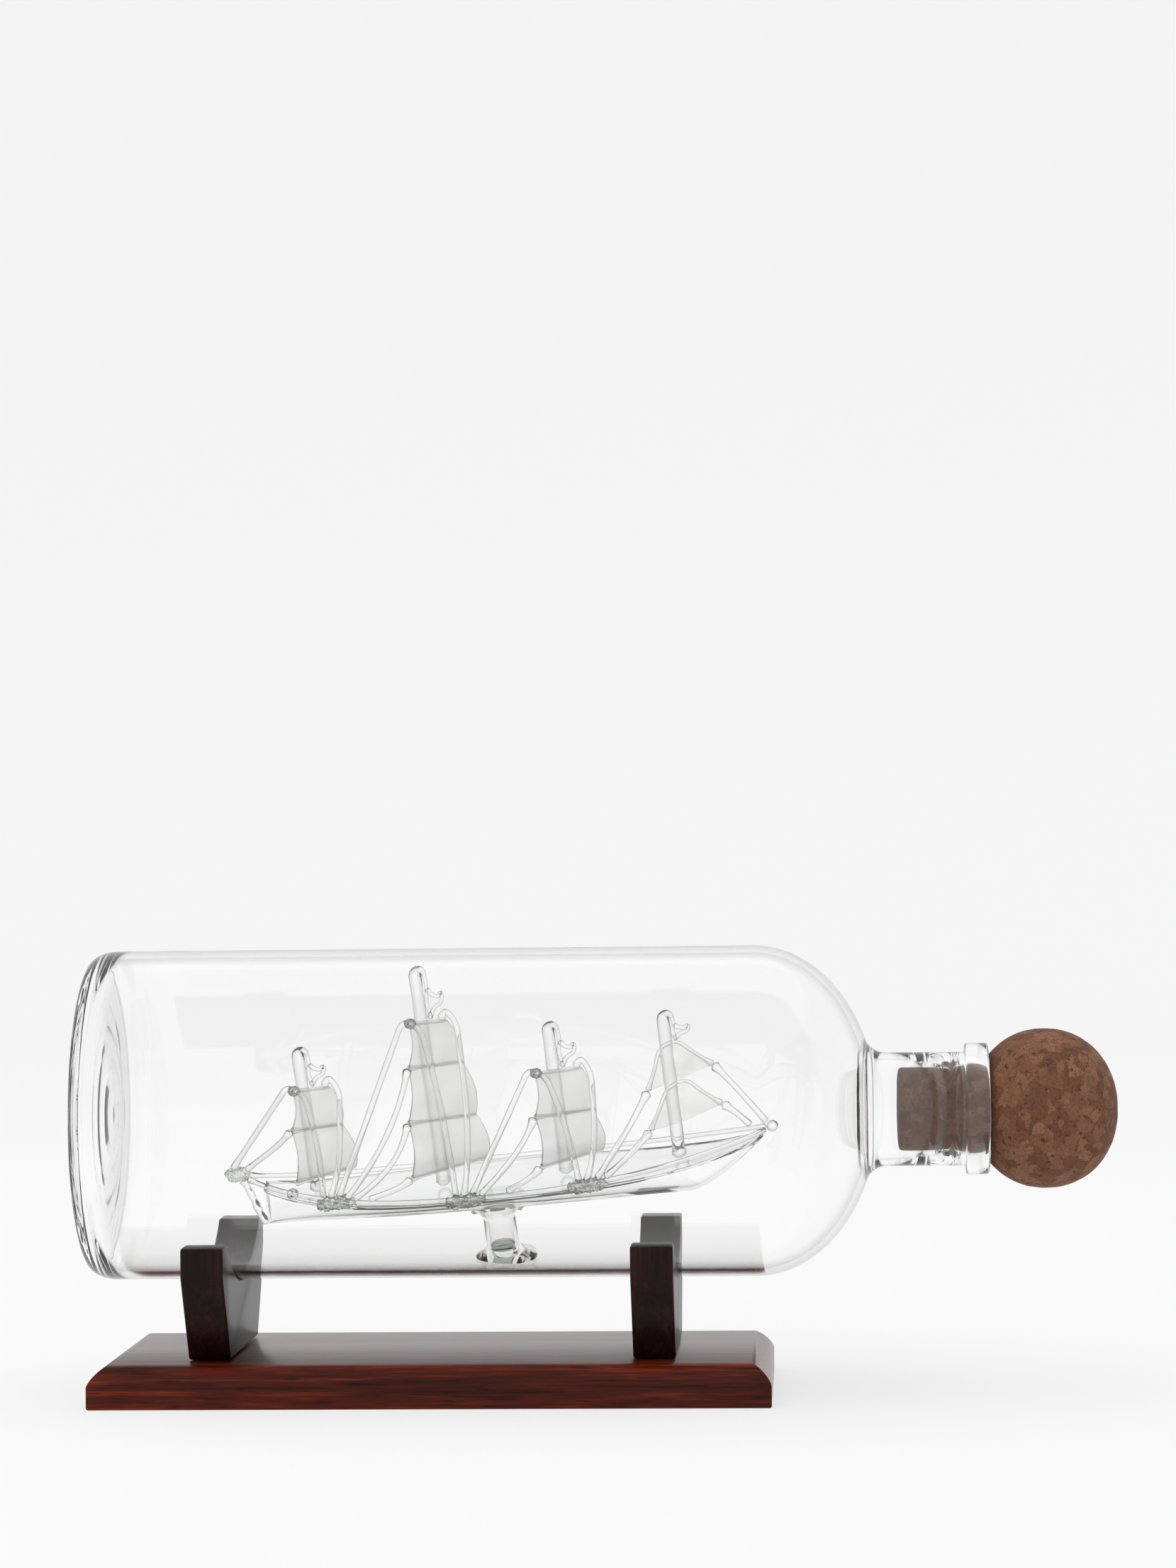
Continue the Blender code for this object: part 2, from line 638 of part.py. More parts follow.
def make_mast(mast, home, glass, ship):
    """A rod on the deck whose tip is bent over and drawn down beside it as a thin strand."""
    x, top = mast_x(mast), mast_top(mast)
    flare = MAST_RADIUS * MAST_FOOT_FLARE
    foot = max(deck_height(x - flare), deck_height(x + flare)) + GAP
    bend = HOOK_OFFSET / 2
    crown = top - bend - 0.6 * MAST_RADIUS
    points = [(x, 0, foot), (x, 0, foot + 0.001), (x, 0, foot + 0.003)]
    tapers = [MAST_FOOT_FLARE, 1.15, 1]
    points += [(x, 0, (foot + crown) / 2), (x, 0, crown - 2 * MAST_RADIUS)]
    tapers += [1, 1]
    for i in range(6):
        angle = math.pi * (1 - i / 5)
        points.append((x + bend + bend * math.cos(angle), 0, crown + bend * math.sin(angle)))
        tapers.append(0.7 + (STRAND_RADIUS / MAST_RADIUS - 0.7) * i / 5)
    strand_end = sail_top(mast) + STRAND_CLEARANCE
    points.append((x + HOOK_OFFSET, 0, strand_end))
    tapers.append(tapers[-1])
    tube("mast_" + mast, points, MAST_RADIUS, home, glass, ship, tapers)
    start = x + HOOK_OFFSET + STRAND_RADIUS + GAP + PENNANT_RADIUS
    length = crown - strand_end
    wave = ((0, 0.35), (0.5, 0.5), (0.9, 0.52), (1, 0.58), (0.85, 0.66), (0.4, 0.76), (0, 0.9))
    pennant = [(start + out * PENNANT_REACH, 0, crown - down * length) for out, down in wave]
    tube("pennant_" + mast, pennant, PENNANT_RADIUS, home, glass, ship)


def yard_point(mast, along, out, height, tilt):
    """A point on a mast's sail plane: along the yard, out in front of it, and up."""
    x = mast_x(mast) + along * math.cos(BRACE) + out * math.sin(BRACE)
    return Vector((x, along * math.sin(BRACE) - out * math.cos(BRACE), height - along * math.sin(tilt)))


def yard_tilt(mast, yard):
    return FOOT_TILT if yard == len(SAIL_PLAN[mast][1]) - 1 else YARD_TILT


def make_square_sails(mast, home, frosted, ship):
    """One bellied sheet between each pair of yards, fullest at its far side."""
    yards = SAIL_PLAN[mast][1]
    wind = Vector((math.sin(BRACE), -math.cos(BRACE), 0)) * SAIL_THICKNESS
    columns, rows = 4, 6
    for tier, (upper, lower) in enumerate(zip(yards, yards[1:])):
        top, bottom = up_mast(mast, upper[0]) - TIER_GAP / 2, up_mast(mast, lower[0]) + TIER_GAP / 2
        tilt, foot_tilt = yard_tilt(mast, tier), yard_tilt(mast, tier + 1)
        shape = bmesh.new()
        bmesh.ops.create_grid(shape, x_segments=columns, y_segments=rows, size=0.5)
        for vert in shape.verts:
            across, down = vert.co.x + 0.5, 0.5 - vert.co.y
            left = upper[1] + (lower[1] - upper[1]) * down
            right = upper[2] + (lower[2] - upper[2]) * down
            belly = SAIL_BELLY * (0.35 + 0.65 * across) * math.sin(math.pi * down)
            out = SAIL_OFFSET - SAIL_THICKNESS / 2 + belly
            along = -left + (left + right) * across
            height = top + (bottom - top) * down
            vert.co = yard_point(mast, along, out, height, tilt + (foot_tilt - tilt) * down)
        faces = bmesh.ops.extrude_face_region(shape, geom=list(shape.faces))["geom"]
        added = [item for item in faces if isinstance(item, bmesh.types.BMVert)]
        bmesh.ops.translate(shape, verts=added, vec=wind)
        bmesh.ops.recalc_face_normals(shape, faces=shape.faces)
        mesh_object(f"sail_{mast}_{tier + 1}", shape, home, frosted, ship)


def make_fore_sails(home, frosted, ship):
    """Two flat three-cornered sails, their foot a little hollow."""
    facing = Matrix.Rotation(JIB_BRACE, 4, "Z") @ Matrix.Rotation(math.pi / 2, 4, "X")
    out = Vector((math.sin(JIB_BRACE), -math.cos(JIB_BRACE), 0)) * SAIL_OFFSET
    place = Matrix.Translation(Vector((mast_x("fore"), 0, 0)) + out)
    for name, corners in JIBS.items():
        outline = [(along, up_mast("fore", share)) for along, share in corners]
        flat_plate("sail_fore_" + name, outline, SAIL_THICKNESS, home, frosted, ship, place @ facing)


def bent(start, end, lean_out=Vector(), lean_in=Vector(), steps=8):
    """Points from start to end, pushed aside near the start and near the end by the two leans."""
    first = start.lerp(end, 1 / 3) + lean_out
    second = start.lerp(end, 2 / 3) + lean_in
    points = []
    for i in range(steps + 1):
        t = i / steps
        u = 1 - t
        points.append(start * u**3 + first * 3 * u * u * t + second * 3 * u * t * t + end * t**3)
    return points


def yard_end(mast, yard, along, out=0.0, up=0.0):
    """A point near the end of a yard, from the middle of its sail."""
    height = SAIL_PLAN[mast][1][yard][0]
    return yard_point(mast, along, SAIL_OFFSET + out, up_mast(mast, height) + up, yard_tilt(mast, yard))


def make_stays(mast, after, ahead, home, glass, ship):
    """The rods that hold one mast's square sails: one bent over the top corner, one down the far side,
    and one from the near end of each lower yard. after and ahead are where they land."""
    forward = Vector((math.sin(BRACE), -math.cos(BRACE), 0))
    clear = SAIL_THICKNESS / 2 + GAP + ROD_RADIUS
    _, near, far = SAIL_PLAN[mast][1][0]
    corner = yard_end(mast, 0, -near - clear - ROD_RADIUS, up=ROD_RADIUS)
    up = bent(after[0], corner)
    down = bent(corner, ahead[0], forward * STAY_BOW, forward * STAY_BOW / 2)
    middle = corner.lerp(up[-2].lerp(down[1], 0.5), 0.3)
    crook = [up[-2].lerp(corner, 0.6), middle, down[1].lerp(corner, 0.6)]
    tube(f"stay_{mast}_bent", up[:-1] + crook + down[1:], ROD_RADIUS, home, glass, ship)
    top = yard_end(mast, 0, far - ROD_RADIUS, up=clear + GAP)
    lean = STAY_BOW + FAR_LEAN * (top.z - ahead[1].z)
    over = forward * lean + Vector((0, 0, 2 * STAY_BOW))
    rod = bent(top, ahead[1], over, forward * lean)
    tube(f"stay_{mast}_far", rod, ROD_RADIUS, home, glass, ship)
    droop = Vector((0.0012, 0, -0.0012)) * (len(after) - 2)
    for yard in range(1, len(after)):
        near = SAIL_PLAN[mast][1][yard][1]
        start = yard_end(mast, yard, -near - clear - GAP, up=-STAY_DROP)
        sag = Vector() if yard == len(after) - 1 else droop
        tube(f"stay_{mast}_{yard + 1}", bent(start, after[yard], sag, sag), ROD_RADIUS, home, glass, ship)


def make_fore_stays(home, glass, ship):
    """Four rods from the corners of the fore sails, two to the bow and two to the port rail."""
    bow = bow_bead()
    on_rail = rail_height(bow.x) + RAIL_RADIUS + GAP + 1.2 * ROD_RADIUS
    over_bow = {
        "upper": bow + Vector((-0.003, 0, BOW_BEAD_RADIUS + GAP + ROD_RADIUS)),
        "lower": Vector((bow.x - 0.0065, 0, on_rail)),
    }
    for (name, corners), spot in zip(JIBS.items(), LANDINGS["fore"][0]):
        for side, corner, end in (
            ("left", corners[3], landing(*spot)),
            ("right", corners[1], over_bow[name]),
        ):
            clear = 1.3 * (ROD_RADIUS + GAP)
            along = corner[0] + (clear if side == "right" else -clear)
            x = mast_x("fore") + along * math.cos(JIB_BRACE) + SAIL_OFFSET * math.sin(JIB_BRACE)
            y = along * math.sin(JIB_BRACE) - SAIL_OFFSET * math.cos(JIB_BRACE)
            rod = bent(Vector((x, y, up_mast("fore", corner[1]))), end)
            tube(f"stay_fore_{name}_{side}", rod, ROD_RADIUS, home, glass, ship)


def make_ship(home, cutters, glass, frosted):
    ship = ship_frame(home)
    bpy.context.view_layer.update()
    make_hull(home, cutters, glass, ship)
    make_pedestal(home, cutters, glass, ship)
    make_rails(home, glass, ship)
    make_ends(home, glass, ship)
    make_beads(home, cutters, glass, ship)
    for mast in ("aft", "main", "middle", "fore"):
        make_mast(mast, home, glass, ship)
    for mast in SAIL_PLAN:
        make_square_sails(mast, home, frosted, ship)
    make_fore_sails(home, frosted, ship)
    knot = stern_knot()
    reach = STERN_KNOT_RADIUS + GAP + ROD_RADIUS
    on_knot = (knot + Vector((-0.0008, -0.001, reach)), knot + Vector((0.0034, -0.0016, reach)))
    for mast in SAIL_PLAN:
        behind, before = LANDINGS[mast]
        after = [landing(*spot) for spot in behind] or on_knot
        make_stays(mast, after, [landing(*spot) for spot in before], home, glass, ship)
    make_fore_stays(home, glass, ship)


def main():
    clear_scene()
    home = collection("ship_in_a_bottle")
    cutters = collection("cutters")
    wood = finish("mahogany", (0.075, 0.018, 0.012), 0.3)
    steel = finish("zinc_plated_steel", (0.55, 0.55, 0.53), 0.35, metallic=1)
    glass = finish("clear_glass", (0.9, 0.93, 0.92), 0.02, transmission=1)
    frosted = finish("frosted_glass", (0.86, 0.86, 0.86), 0.5, transmission=0.4)
    cork = finish("cork", (0.32, 0.16, 0.09), 0.85)
    holes = make_plank(home, cutters, wood)
    make_cradles(home, wood, holes)
    four_screws(0, home, steel)
    turned("bottle", bottle_profile(), home, glass, matrix=along_bottle(0))
    stopper_z = BOTTLE_LENGTH + GAP + BALL_FLAT_DEPTH
    turned("cork_stopper", stopper_profile(), home, cork, matrix=along_bottle(stopper_z), steps=32)
    make_ship(home, cutters, glass, frosted)


main()
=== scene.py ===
"""A lamp-worked glass ship in a corked bottle on a mahogany stand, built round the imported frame."""

import logging
import math
from dataclasses import dataclass, field
from enum import Enum
from typing import Any, Callable, Mapping, Sequence

import bpy
from mathutils import Matrix, Vector


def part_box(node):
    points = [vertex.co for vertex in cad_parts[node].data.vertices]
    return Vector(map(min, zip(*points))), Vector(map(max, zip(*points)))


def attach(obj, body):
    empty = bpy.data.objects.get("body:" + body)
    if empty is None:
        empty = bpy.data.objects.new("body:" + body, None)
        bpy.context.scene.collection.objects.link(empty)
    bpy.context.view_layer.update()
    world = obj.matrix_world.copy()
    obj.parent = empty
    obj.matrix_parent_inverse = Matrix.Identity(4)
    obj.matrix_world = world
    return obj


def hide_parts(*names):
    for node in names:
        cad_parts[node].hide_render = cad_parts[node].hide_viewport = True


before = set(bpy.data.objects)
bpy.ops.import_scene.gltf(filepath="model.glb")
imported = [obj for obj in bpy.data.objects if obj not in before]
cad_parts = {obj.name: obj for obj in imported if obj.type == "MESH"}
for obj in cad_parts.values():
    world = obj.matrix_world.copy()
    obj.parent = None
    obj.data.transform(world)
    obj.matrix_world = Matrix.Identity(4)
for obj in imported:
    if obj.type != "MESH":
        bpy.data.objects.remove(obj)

logging.basicConfig(level=logging.INFO, format="%(message)s")
log = logging.getLogger("ship_in_a_bottle")

MM = 0.001
GAP = 0.3 * MM
LUMP_ANGLE = 80.0
SHEET_ANGLE = 50.0
ROD_ANGLE = 60.0
BOARD_ANGLE = 35.0


class Body(Enum):
    """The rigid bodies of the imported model."""

    STAND = "stand"
    BOTTLE = "bottle"
    STOPPER = "stopper"


class Slot(Enum):
    """The record's material slots."""

    WOOD = "wood"
    BOTTLE_GLASS = "bottle_glass"
    SHIP_GLASS = "ship_glass"
    FROSTED = "frosted_glass"
    CORK = "cork"


class Grain(Enum):
    """The axis a board's grain runs along."""

    ALONG_X = 0
    ALONG_Z = 2


# ---- Materials ----


def linear(code: str) -> tuple[float, float, float, float]:
    """Turns an sRGB hex colour to linear values.

    Args:
        code: A colour such as "#3a1a16".

    Returns:
        Red, green, blue and alpha.
    """
    parts = [int(code[i : i + 2], 16) / 255 for i in (1, 3, 5)]
    red, green, blue = (c / 12.92 if c <= 0.04045 else ((c + 0.055) / 1.055) ** 2.4 for c in parts)
    return red, green, blue, 1.0


def per_metre(size_mm: float) -> float:
    """The scale of a pattern whose features are this many millimetres across."""
    return 1 / (size_mm * MM)


def add_node(
    tree: bpy.types.NodeTree,
    kind: str,
    values: Mapping[str | int, Any] | None = None,
    links: Mapping[str | int, bpy.types.NodeSocket] | None = None,
) -> bpy.types.Node:
    """Adds a shader node with its settings and links.

    Args:
        tree: The material's node tree.
        kind: The node's type without its "ShaderNode".
        values: Values by input name or number, or by the node's own setting.
        links: Sockets that feed its inputs, by input name or number.

    Returns:
        The new node.
    """
    node = tree.nodes.new("ShaderNode" + kind)
    for name, value in (values or {}).items():
        if isinstance(name, int) or name in node.inputs:
            node.inputs[name].default_value = value
        else:
            setattr(node, name, value)
    for name, socket in (links or {}).items():
        tree.links.new(socket, node.inputs[name])
    return node


def shades(
    tree: bpy.types.NodeTree, factor: bpy.types.NodeSocket, stops: Sequence[tuple[float, str]]
) -> bpy.types.NodeSocket:
    """Turns a factor to colours.

    Args:
        tree: The material's node tree.
        factor: The socket to read.
        stops: Positions and their sRGB hex colours.

    Returns:
        The colour socket.
    """
    ramp = add_node(tree, "ValToRGB", links={"Fac": factor})
    elements = ramp.color_ramp.elements
    while len(elements) < len(stops):
        elements.new(1.0)
    for element, (place, code) in zip(elements, stops):
        element.position = place
        element.color = linear(code)
    return ramp.outputs["Color"]


def new_material(
    name: str, settings: Mapping[str, Any]
) -> tuple[bpy.types.Material, bpy.types.Node]:
    """Makes a material with a Principled shader.

    Args:
        name: The material's name.
        settings: Values of the shader's own sockets.

    Returns:
        The material and its shader node.
    """
    material = bpy.data.materials.new(name)
    material.use_nodes = True
    shader = material.node_tree.nodes["Principled BSDF"]
    for key, value in settings.items():
        shader.inputs[key].default_value = value
    return material, shader


@dataclass(frozen=True)
class FlamePolishedGlass:
    """Clear borosilicate glass, blown or drawn in the flame: smooth and rippled, with grey painted
    shade at its edges, where the base colour darkens as the surface turns edge-on.
    """

    name: str
    clear: str = "#ffffff"
    # The edge colour is painted shade: the base colour darkens to it at glancing angles, beginning at
    # the given facing value.
    edge: str = "#8c938d"
    edge_shade_start: float = 0.35
    roughness: float = 0.0
    ripple_mm: float = 9.0
    ripple: float = 0.06

    def material(self) -> bpy.types.Material:
        """Builds the material."""
        made, shader = new_material(
            self.name,
            {"Roughness": self.roughness, "IOR": 1.47, "Transmission Weight": 1.0},
        )
        tree = made.node_tree
        # Painted shade: the base colour runs from the clear colour to the darker edge colour as the
        # surface turns edge-on.
        facing = add_node(tree, "LayerWeight", {"Blend": 0.5}).outputs["Facing"]
        stops = ((self.edge_shade_start, self.clear), (1.0, self.edge))
        tree.links.new(shades(tree, facing, stops), shader.inputs["Base Color"])
        place = add_node(tree, "TexCoord").outputs["Object"]
        waves = add_node(
            tree, "TexNoise", {"Scale": per_metre(self.ripple_mm), "Detail": 1.0}, {"Vector": place}
        )
        bump = add_node(
            tree, "Bump", {"Strength": self.ripple, "Distance": 1 * MM},
            {"Height": waves.outputs["Fac"]},
        )
        tree.links.new(bump.outputs["Normal"], shader.inputs["Normal"])
        return made


@dataclass(frozen=True)
class FrostedGlass:
    """Glass drawn out thin and left milky: satin, faintly ribbed, letting soft light through."""

    name: str
    pale: str = "#ffffff"
    dense: str = "#f6f6f4"
    roughness: float = 0.3
    clearness: float = 0.86
    cloud_mm: float = 5.0
    rib_mm: float = 1.2

    def material(self) -> bpy.types.Material:
        """Builds the material."""
        made, shader = new_material(
            self.name,
            {"Roughness": self.roughness, "IOR": 1.22, "Transmission Weight": self.clearness},
        )
        tree = made.node_tree
        place = add_node(tree, "TexCoord").outputs["Object"]
        stretched = add_node(tree, "Mapping", {"Scale": (1.0, 1.0, 0.15)}, {"Vector": place})
        clouds = add_node(
            tree, "TexNoise", {"Scale": per_metre(self.cloud_mm), "Detail": 4.0}, {"Vector": place}
        )
        ribs = add_node(
            tree, "TexNoise", {"Scale": per_metre(self.rib_mm), "Detail": 2.0},
            {"Vector": stretched.outputs["Vector"]},
        )
        stops = ((0.3, self.dense), (0.65, self.pale))
        tree.links.new(shades(tree, clouds.outputs["Fac"], stops), shader.inputs["Base Color"])
        bump = add_node(
            tree, "Bump", {"Strength": 0.25, "Distance": 0.3 * MM}, {"Height": ribs.outputs["Fac"]}
        )
        tree.links.new(bump.outputs["Normal"], shader.inputs["Normal"])
        return made


@dataclass(frozen=True)
class LacqueredMahogany:
    """Dark-stained mahogany under satin lacquer: long fine grain, short pores and warm streaks."""

    name: str
    grain: Grain
    stain: str
    body: str
    streak: str
    streak_mm: float = 5.0
    grain_mm: float = 1.1
    pore_mm: float = 0.5
    stretch: float = 22.0
    roughness: float = 0.36
    lacquer: float = 0.6

    def along(self, tree: bpy.types.NodeTree, place: bpy.types.NodeSocket) -> bpy.types.NodeSocket:
        """Stretches the pattern along the grain."""
        scale = [1.0, 1.0, 1.0]
        scale[self.grain.value] = 1 / self.stretch
        return add_node(tree, "Mapping", {"Scale": scale}, {"Vector": place}).outputs["Vector"]

    def material(self) -> bpy.types.Material:
        """Builds the material."""
        made, shader = new_material(
            self.name,
            {"Roughness": self.roughness, "Coat Roughness": 0.2, "Specular IOR Level": 0.1},
        )
        tree = made.node_tree
        facing = add_node(tree, "LayerWeight", {"Blend": 0.5}).outputs["Facing"]
        lacquer = add_node(
            tree, "MapRange", {"From Min": 0.55, "To Min": 0.03, "To Max": self.lacquer},
            {"Value": facing},
        )
        tree.links.new(lacquer.outputs["Result"], shader.inputs["Coat Weight"])
        place = self.along(tree, add_node(tree, "TexCoord").outputs["Object"])
        broad = add_node(
            tree, "TexNoise", {"Scale": per_metre(self.streak_mm), "Detail": 3.0, "Distortion": 0.6},
            {"Vector": place},
        )
        fine = add_node(
            tree, "TexNoise", {"Scale": per_metre(self.grain_mm), "Detail": 5.0, "Roughness": 0.65},
            {"Vector": place},
        )
        pores = add_node(
            tree, "TexNoise", {"Scale": per_metre(self.pore_mm), "Detail": 1.0}, {"Vector": place}
        )
        both = add_node(
            tree, "MixRGB", {"Fac": 0.45},
            {"Color1": broad.outputs["Fac"], "Color2": fine.outputs["Fac"]},
        )
        wood = shades(
            tree, both.outputs["Color"], ((0.36, self.stain), (0.5, self.body), (0.64, self.streak))
        )
        open_pore = shades(tree, pores.outputs["Fac"], ((0.30, "#6a6a6a"), (0.42, "#ffffff")))
        dressed = add_node(
            tree, "MixRGB", {"blend_type": "MULTIPLY", "Fac": 0.7},
            {"Color1": wood, "Color2": open_pore},
        )
        tree.links.new(dressed.outputs["Color"], shader.inputs["Base Color"])
        bump = add_node(
            tree, "Bump", {"Strength": 0.12, "Distance": 0.15 * MM}, {"Height": fine.outputs["Fac"]}
        )
        tree.links.new(bump.outputs["Normal"], shader.inputs["Normal"])
        return made


@dataclass(frozen=True)
class AgglomeratedCork:
    """Pressed cork granules, turned and sanded: brown chips, dark bark specks, dry and matte."""

    name: str
    chip_mm: float = 3.3
    speck_mm: float = 1.6
    dust_mm: float = 0.7
    chips: tuple[str, ...] = ("#63402c", "#6f4833", "#7b533c", "#875e46")
    crevice: str = "#38211a"

    def material(self) -> bpy.types.Material:
        """Builds the material."""
        made, shader = new_material(self.name, {"Roughness": 0.82, "Specular IOR Level": 0.3})
        tree = made.node_tree
        place = add_node(tree, "TexCoord").outputs["Object"]
        wander = add_node(
            tree, "TexNoise", {"Scale": per_metre(self.chip_mm), "Detail": 4.0, "Roughness": 0.6},
            {"Vector": place},
        )
        bent = add_node(
            tree, "VectorMath", {"operation": "MULTIPLY_ADD", 1: (4.5 * MM,) * 3},
            {0: wander.outputs["Color"], 2: place},
        )
        where = bent.outputs["Vector"]
        chips = add_node(tree, "TexVoronoi", {"Scale": per_metre(self.chip_mm)}, {"Vector": where})
        edges = add_node(
            tree, "TexVoronoi", {"Scale": per_metre(self.chip_mm), "feature": "DISTANCE_TO_EDGE"},
            {"Vector": where},
        )
        specks = add_node(tree, "TexVoronoi", {"Scale": per_metre(self.speck_mm)}, {"Vector": where})
        dust = add_node(
            tree, "TexNoise", {"Scale": per_metre(self.dust_mm), "Detail": 3.0}, {"Vector": where}
        )
        pick = add_node(tree, "SeparateColor", links={"Color": chips.outputs["Color"]})
        count = len(self.chips)
        tone = shades(
            tree, pick.outputs["Red"],
            [(i / (count - 1), code) for i, code in enumerate(self.chips)],
        )
        grit = shades(tree, dust.outputs["Fac"], ((0.3, "#b4aca8"), (0.6, "#ffffff")))
        mottled = add_node(
            tree, "MixRGB", {"blend_type": "MULTIPLY", "Fac": 0.8}, {"Color1": tone, "Color2": grit}
        )
        seam = add_node(
            tree, "MapRange", {"From Max": 0.05, "To Min": 1.0, "To Max": 0.0},
            {"Value": edges.outputs["Distance"]},
        )
        open_seam = add_node(
            tree, "MapRange", {"From Min": 0.5, "From Max": 0.62}, {"Value": wander.outputs["Fac"]}
        )
        chance = add_node(tree, "SeparateColor", links={"Color": specks.outputs["Color"]})
        dark = add_node(
            tree, "Math", {"operation": "LESS_THAN", 1: 0.13}, {0: chance.outputs["Green"]}
        )
        near = add_node(
            tree, "MapRange", {"From Min": 0.15, "From Max": 0.45, "To Min": 0.85, "To Max": 0.0},
            {"Value": specks.outputs["Distance"]},
        )
        spot = add_node(
            tree, "Math", {"operation": "MULTIPLY"},
            {0: dark.outputs["Value"], 1: near.outputs["Result"]},
        )
        gap = add_node(
            tree, "Math", {"operation": "MULTIPLY_ADD"},
            {0: seam.outputs["Result"], 1: open_seam.outputs["Result"], 2: spot.outputs["Value"]},
        )
        final = add_node(
            tree, "MixRGB", {"Color2": linear(self.crevice), "use_clamp": True},
            {"Fac": gap.outputs["Value"], "Color1": mottled.outputs["Color"]},
        )
        tree.links.new(final.outputs["Color"], shader.inputs["Base Color"])
        bump = add_node(
            tree, "Bump", {"Strength": 0.5, "Distance": 0.25 * MM},
            {"Height": final.outputs["Color"]},
        )
        tree.links.new(bump.outputs["Normal"], shader.inputs["Normal"])
        return made


@dataclass(frozen=True)
class ZincPlatedSteel:
    """Zinc-plated screw steel: dull grey with a faint bluish bloom."""

    name: str = "zinc_plated_steel"

    def material(self) -> bpy.types.Material:
        """Builds the material."""
        made, shader = new_material(self.name, {"Metallic": 1.0})
        tree = made.node_tree
        place = add_node(tree, "TexCoord").outputs["Object"]
        bloom = add_node(tree, "TexNoise", {"Scale": per_metre(1.0), "Detail": 3.0}, {"Vector": place})
        colour = shades(tree, bloom.outputs["Fac"], ((0.35, "#a3a6a8"), (0.7, "#c4c4bf")))
        rough = add_node(
            tree, "MapRange", {"To Min": 0.3, "To Max": 0.5}, {"Value": bloom.outputs["Fac"]}
        )
        tree.links.new(colour, shader.inputs["Base Color"])
        tree.links.new(rough.outputs["Result"], shader.inputs["Roughness"])
        return made


# ---- Modelling ----


def select_only(obj: bpy.types.Object) -> None:
    """Makes this the one selected and active object."""
    if bpy.context.object and bpy.context.object.mode != "OBJECT":
        bpy.ops.object.mode_set(mode="OBJECT")
    bpy.ops.object.select_all(action="DESELECT")
    obj.select_set(True)
    bpy.context.view_layer.objects.active = obj


def started(name: str, add: Callable[..., Any], **settings: Any) -> bpy.types.Object:
    """Adds a primitive.

    Args:
        name: The new object's name.
        add: The operator that adds the primitive.
        settings: What the operator is given.

    Returns:
        The new object, which is the only one selected.
    """
    bpy.ops.object.select_all(action="DESELECT")
    add(**settings)
    obj = bpy.context.object
    obj.name = obj.data.name = name
    return obj


def edit(obj: bpy.types.Object, *steps: Callable[[], Any]) -> None:
    """Runs operators in edit mode on all of the object.

    Args:
        obj: A mesh object.
        steps: The operators, in order.
    """
    select_only(obj)
    bpy.ops.object.mode_set(mode="EDIT")
    for step in steps:
        bpy.ops.mesh.select_all(action="SELECT")
        step()
    bpy.ops.object.mode_set(mode="OBJECT")


def modify(obj: bpy.types.Object, kind: str, **settings: Any) -> None:
    """Adds a modifier and applies it.

    Args:
        obj: A mesh object.
        kind: The modifier's type.
        settings: Its settings.
    """
    select_only(obj)
    modifier = obj.modifiers.new(kind.title(), kind)
    for name, value in settings.items():
        setattr(modifier, name, value)
    bpy.ops.object.modifier_apply(modifier=modifier.name)


def settle(obj: bpy.types.Object, matrix: Matrix) -> None:
    """Puts the object's place in its mesh, with the object itself at the origin.

    Args:
        obj: A mesh object.
        matrix: Where the object goes.
    """
    obj.matrix_world = matrix @ obj.matrix_world
    select_only(obj)
    bpy.ops.object.transform_apply(location=True, rotation=True, scale=True)


def dress(
    obj: bpy.types.Object,
    material: bpy.types.Material,
    body: Body,
    nodes: Sequence[str] = (),
    smooth_angle: float = 40.0,
) -> bpy.types.Object:
    """Gives a finished piece its shading, its material and its place in the frame.

    Args:
        obj: The piece.
        material: Its finish.
        body: The body it rides on.
        nodes: The solids it replaces.
        smooth_angle: Edges that turn more than this stay sharp, in degrees.

    Returns:
        The same piece.
    """
    select_only(obj)
    bpy.ops.object.shade_smooth_by_angle(angle=math.radians(smooth_angle))
    obj.data.materials.clear()
    obj.data.materials.append(material)
    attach(obj, body.value)
    if nodes:
        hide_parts(*nodes)
    log.info("%s: %d faces", obj.name, len(obj.data.polygons))
    return obj


def bezier(corners: Sequence[Vector], count: int) -> list[Vector]:
    """Points on a cubic curve.

    Args:
        corners: The four points that shape it.
        count: How many points to return.

    Returns:
        Evenly stepped points from the first corner to the last.
    """
    first, second, third, last = corners
    points = []
    for i in range(count):
        t = i / (count - 1)
        u = 1 - t
        points.append(first * u**3 + second * 3 * u * u * t + third * 3 * u * t * t + last * t**3)
    return points


def smooth_line(points: Sequence[Vector], count: int) -> list[Vector]:
    """Points on a smooth curve through these points.

    Args:
        points: The points it passes.
        count: How many points to return for each stretch.

    Returns:
        The curve's points.
    """
    made = []
    padded = [2 * points[0] - points[1], *points, 2 * points[-1] - points[-2]]
    for before, start, end, after in zip(padded, padded[1:], padded[2:], padded[3:]):
        second = start + (end - before) / 6
        third = end - (after - start) / 6
        made += bezier((start, second, third, end), count + 1)[:-1]
    return made + [points[-1]]


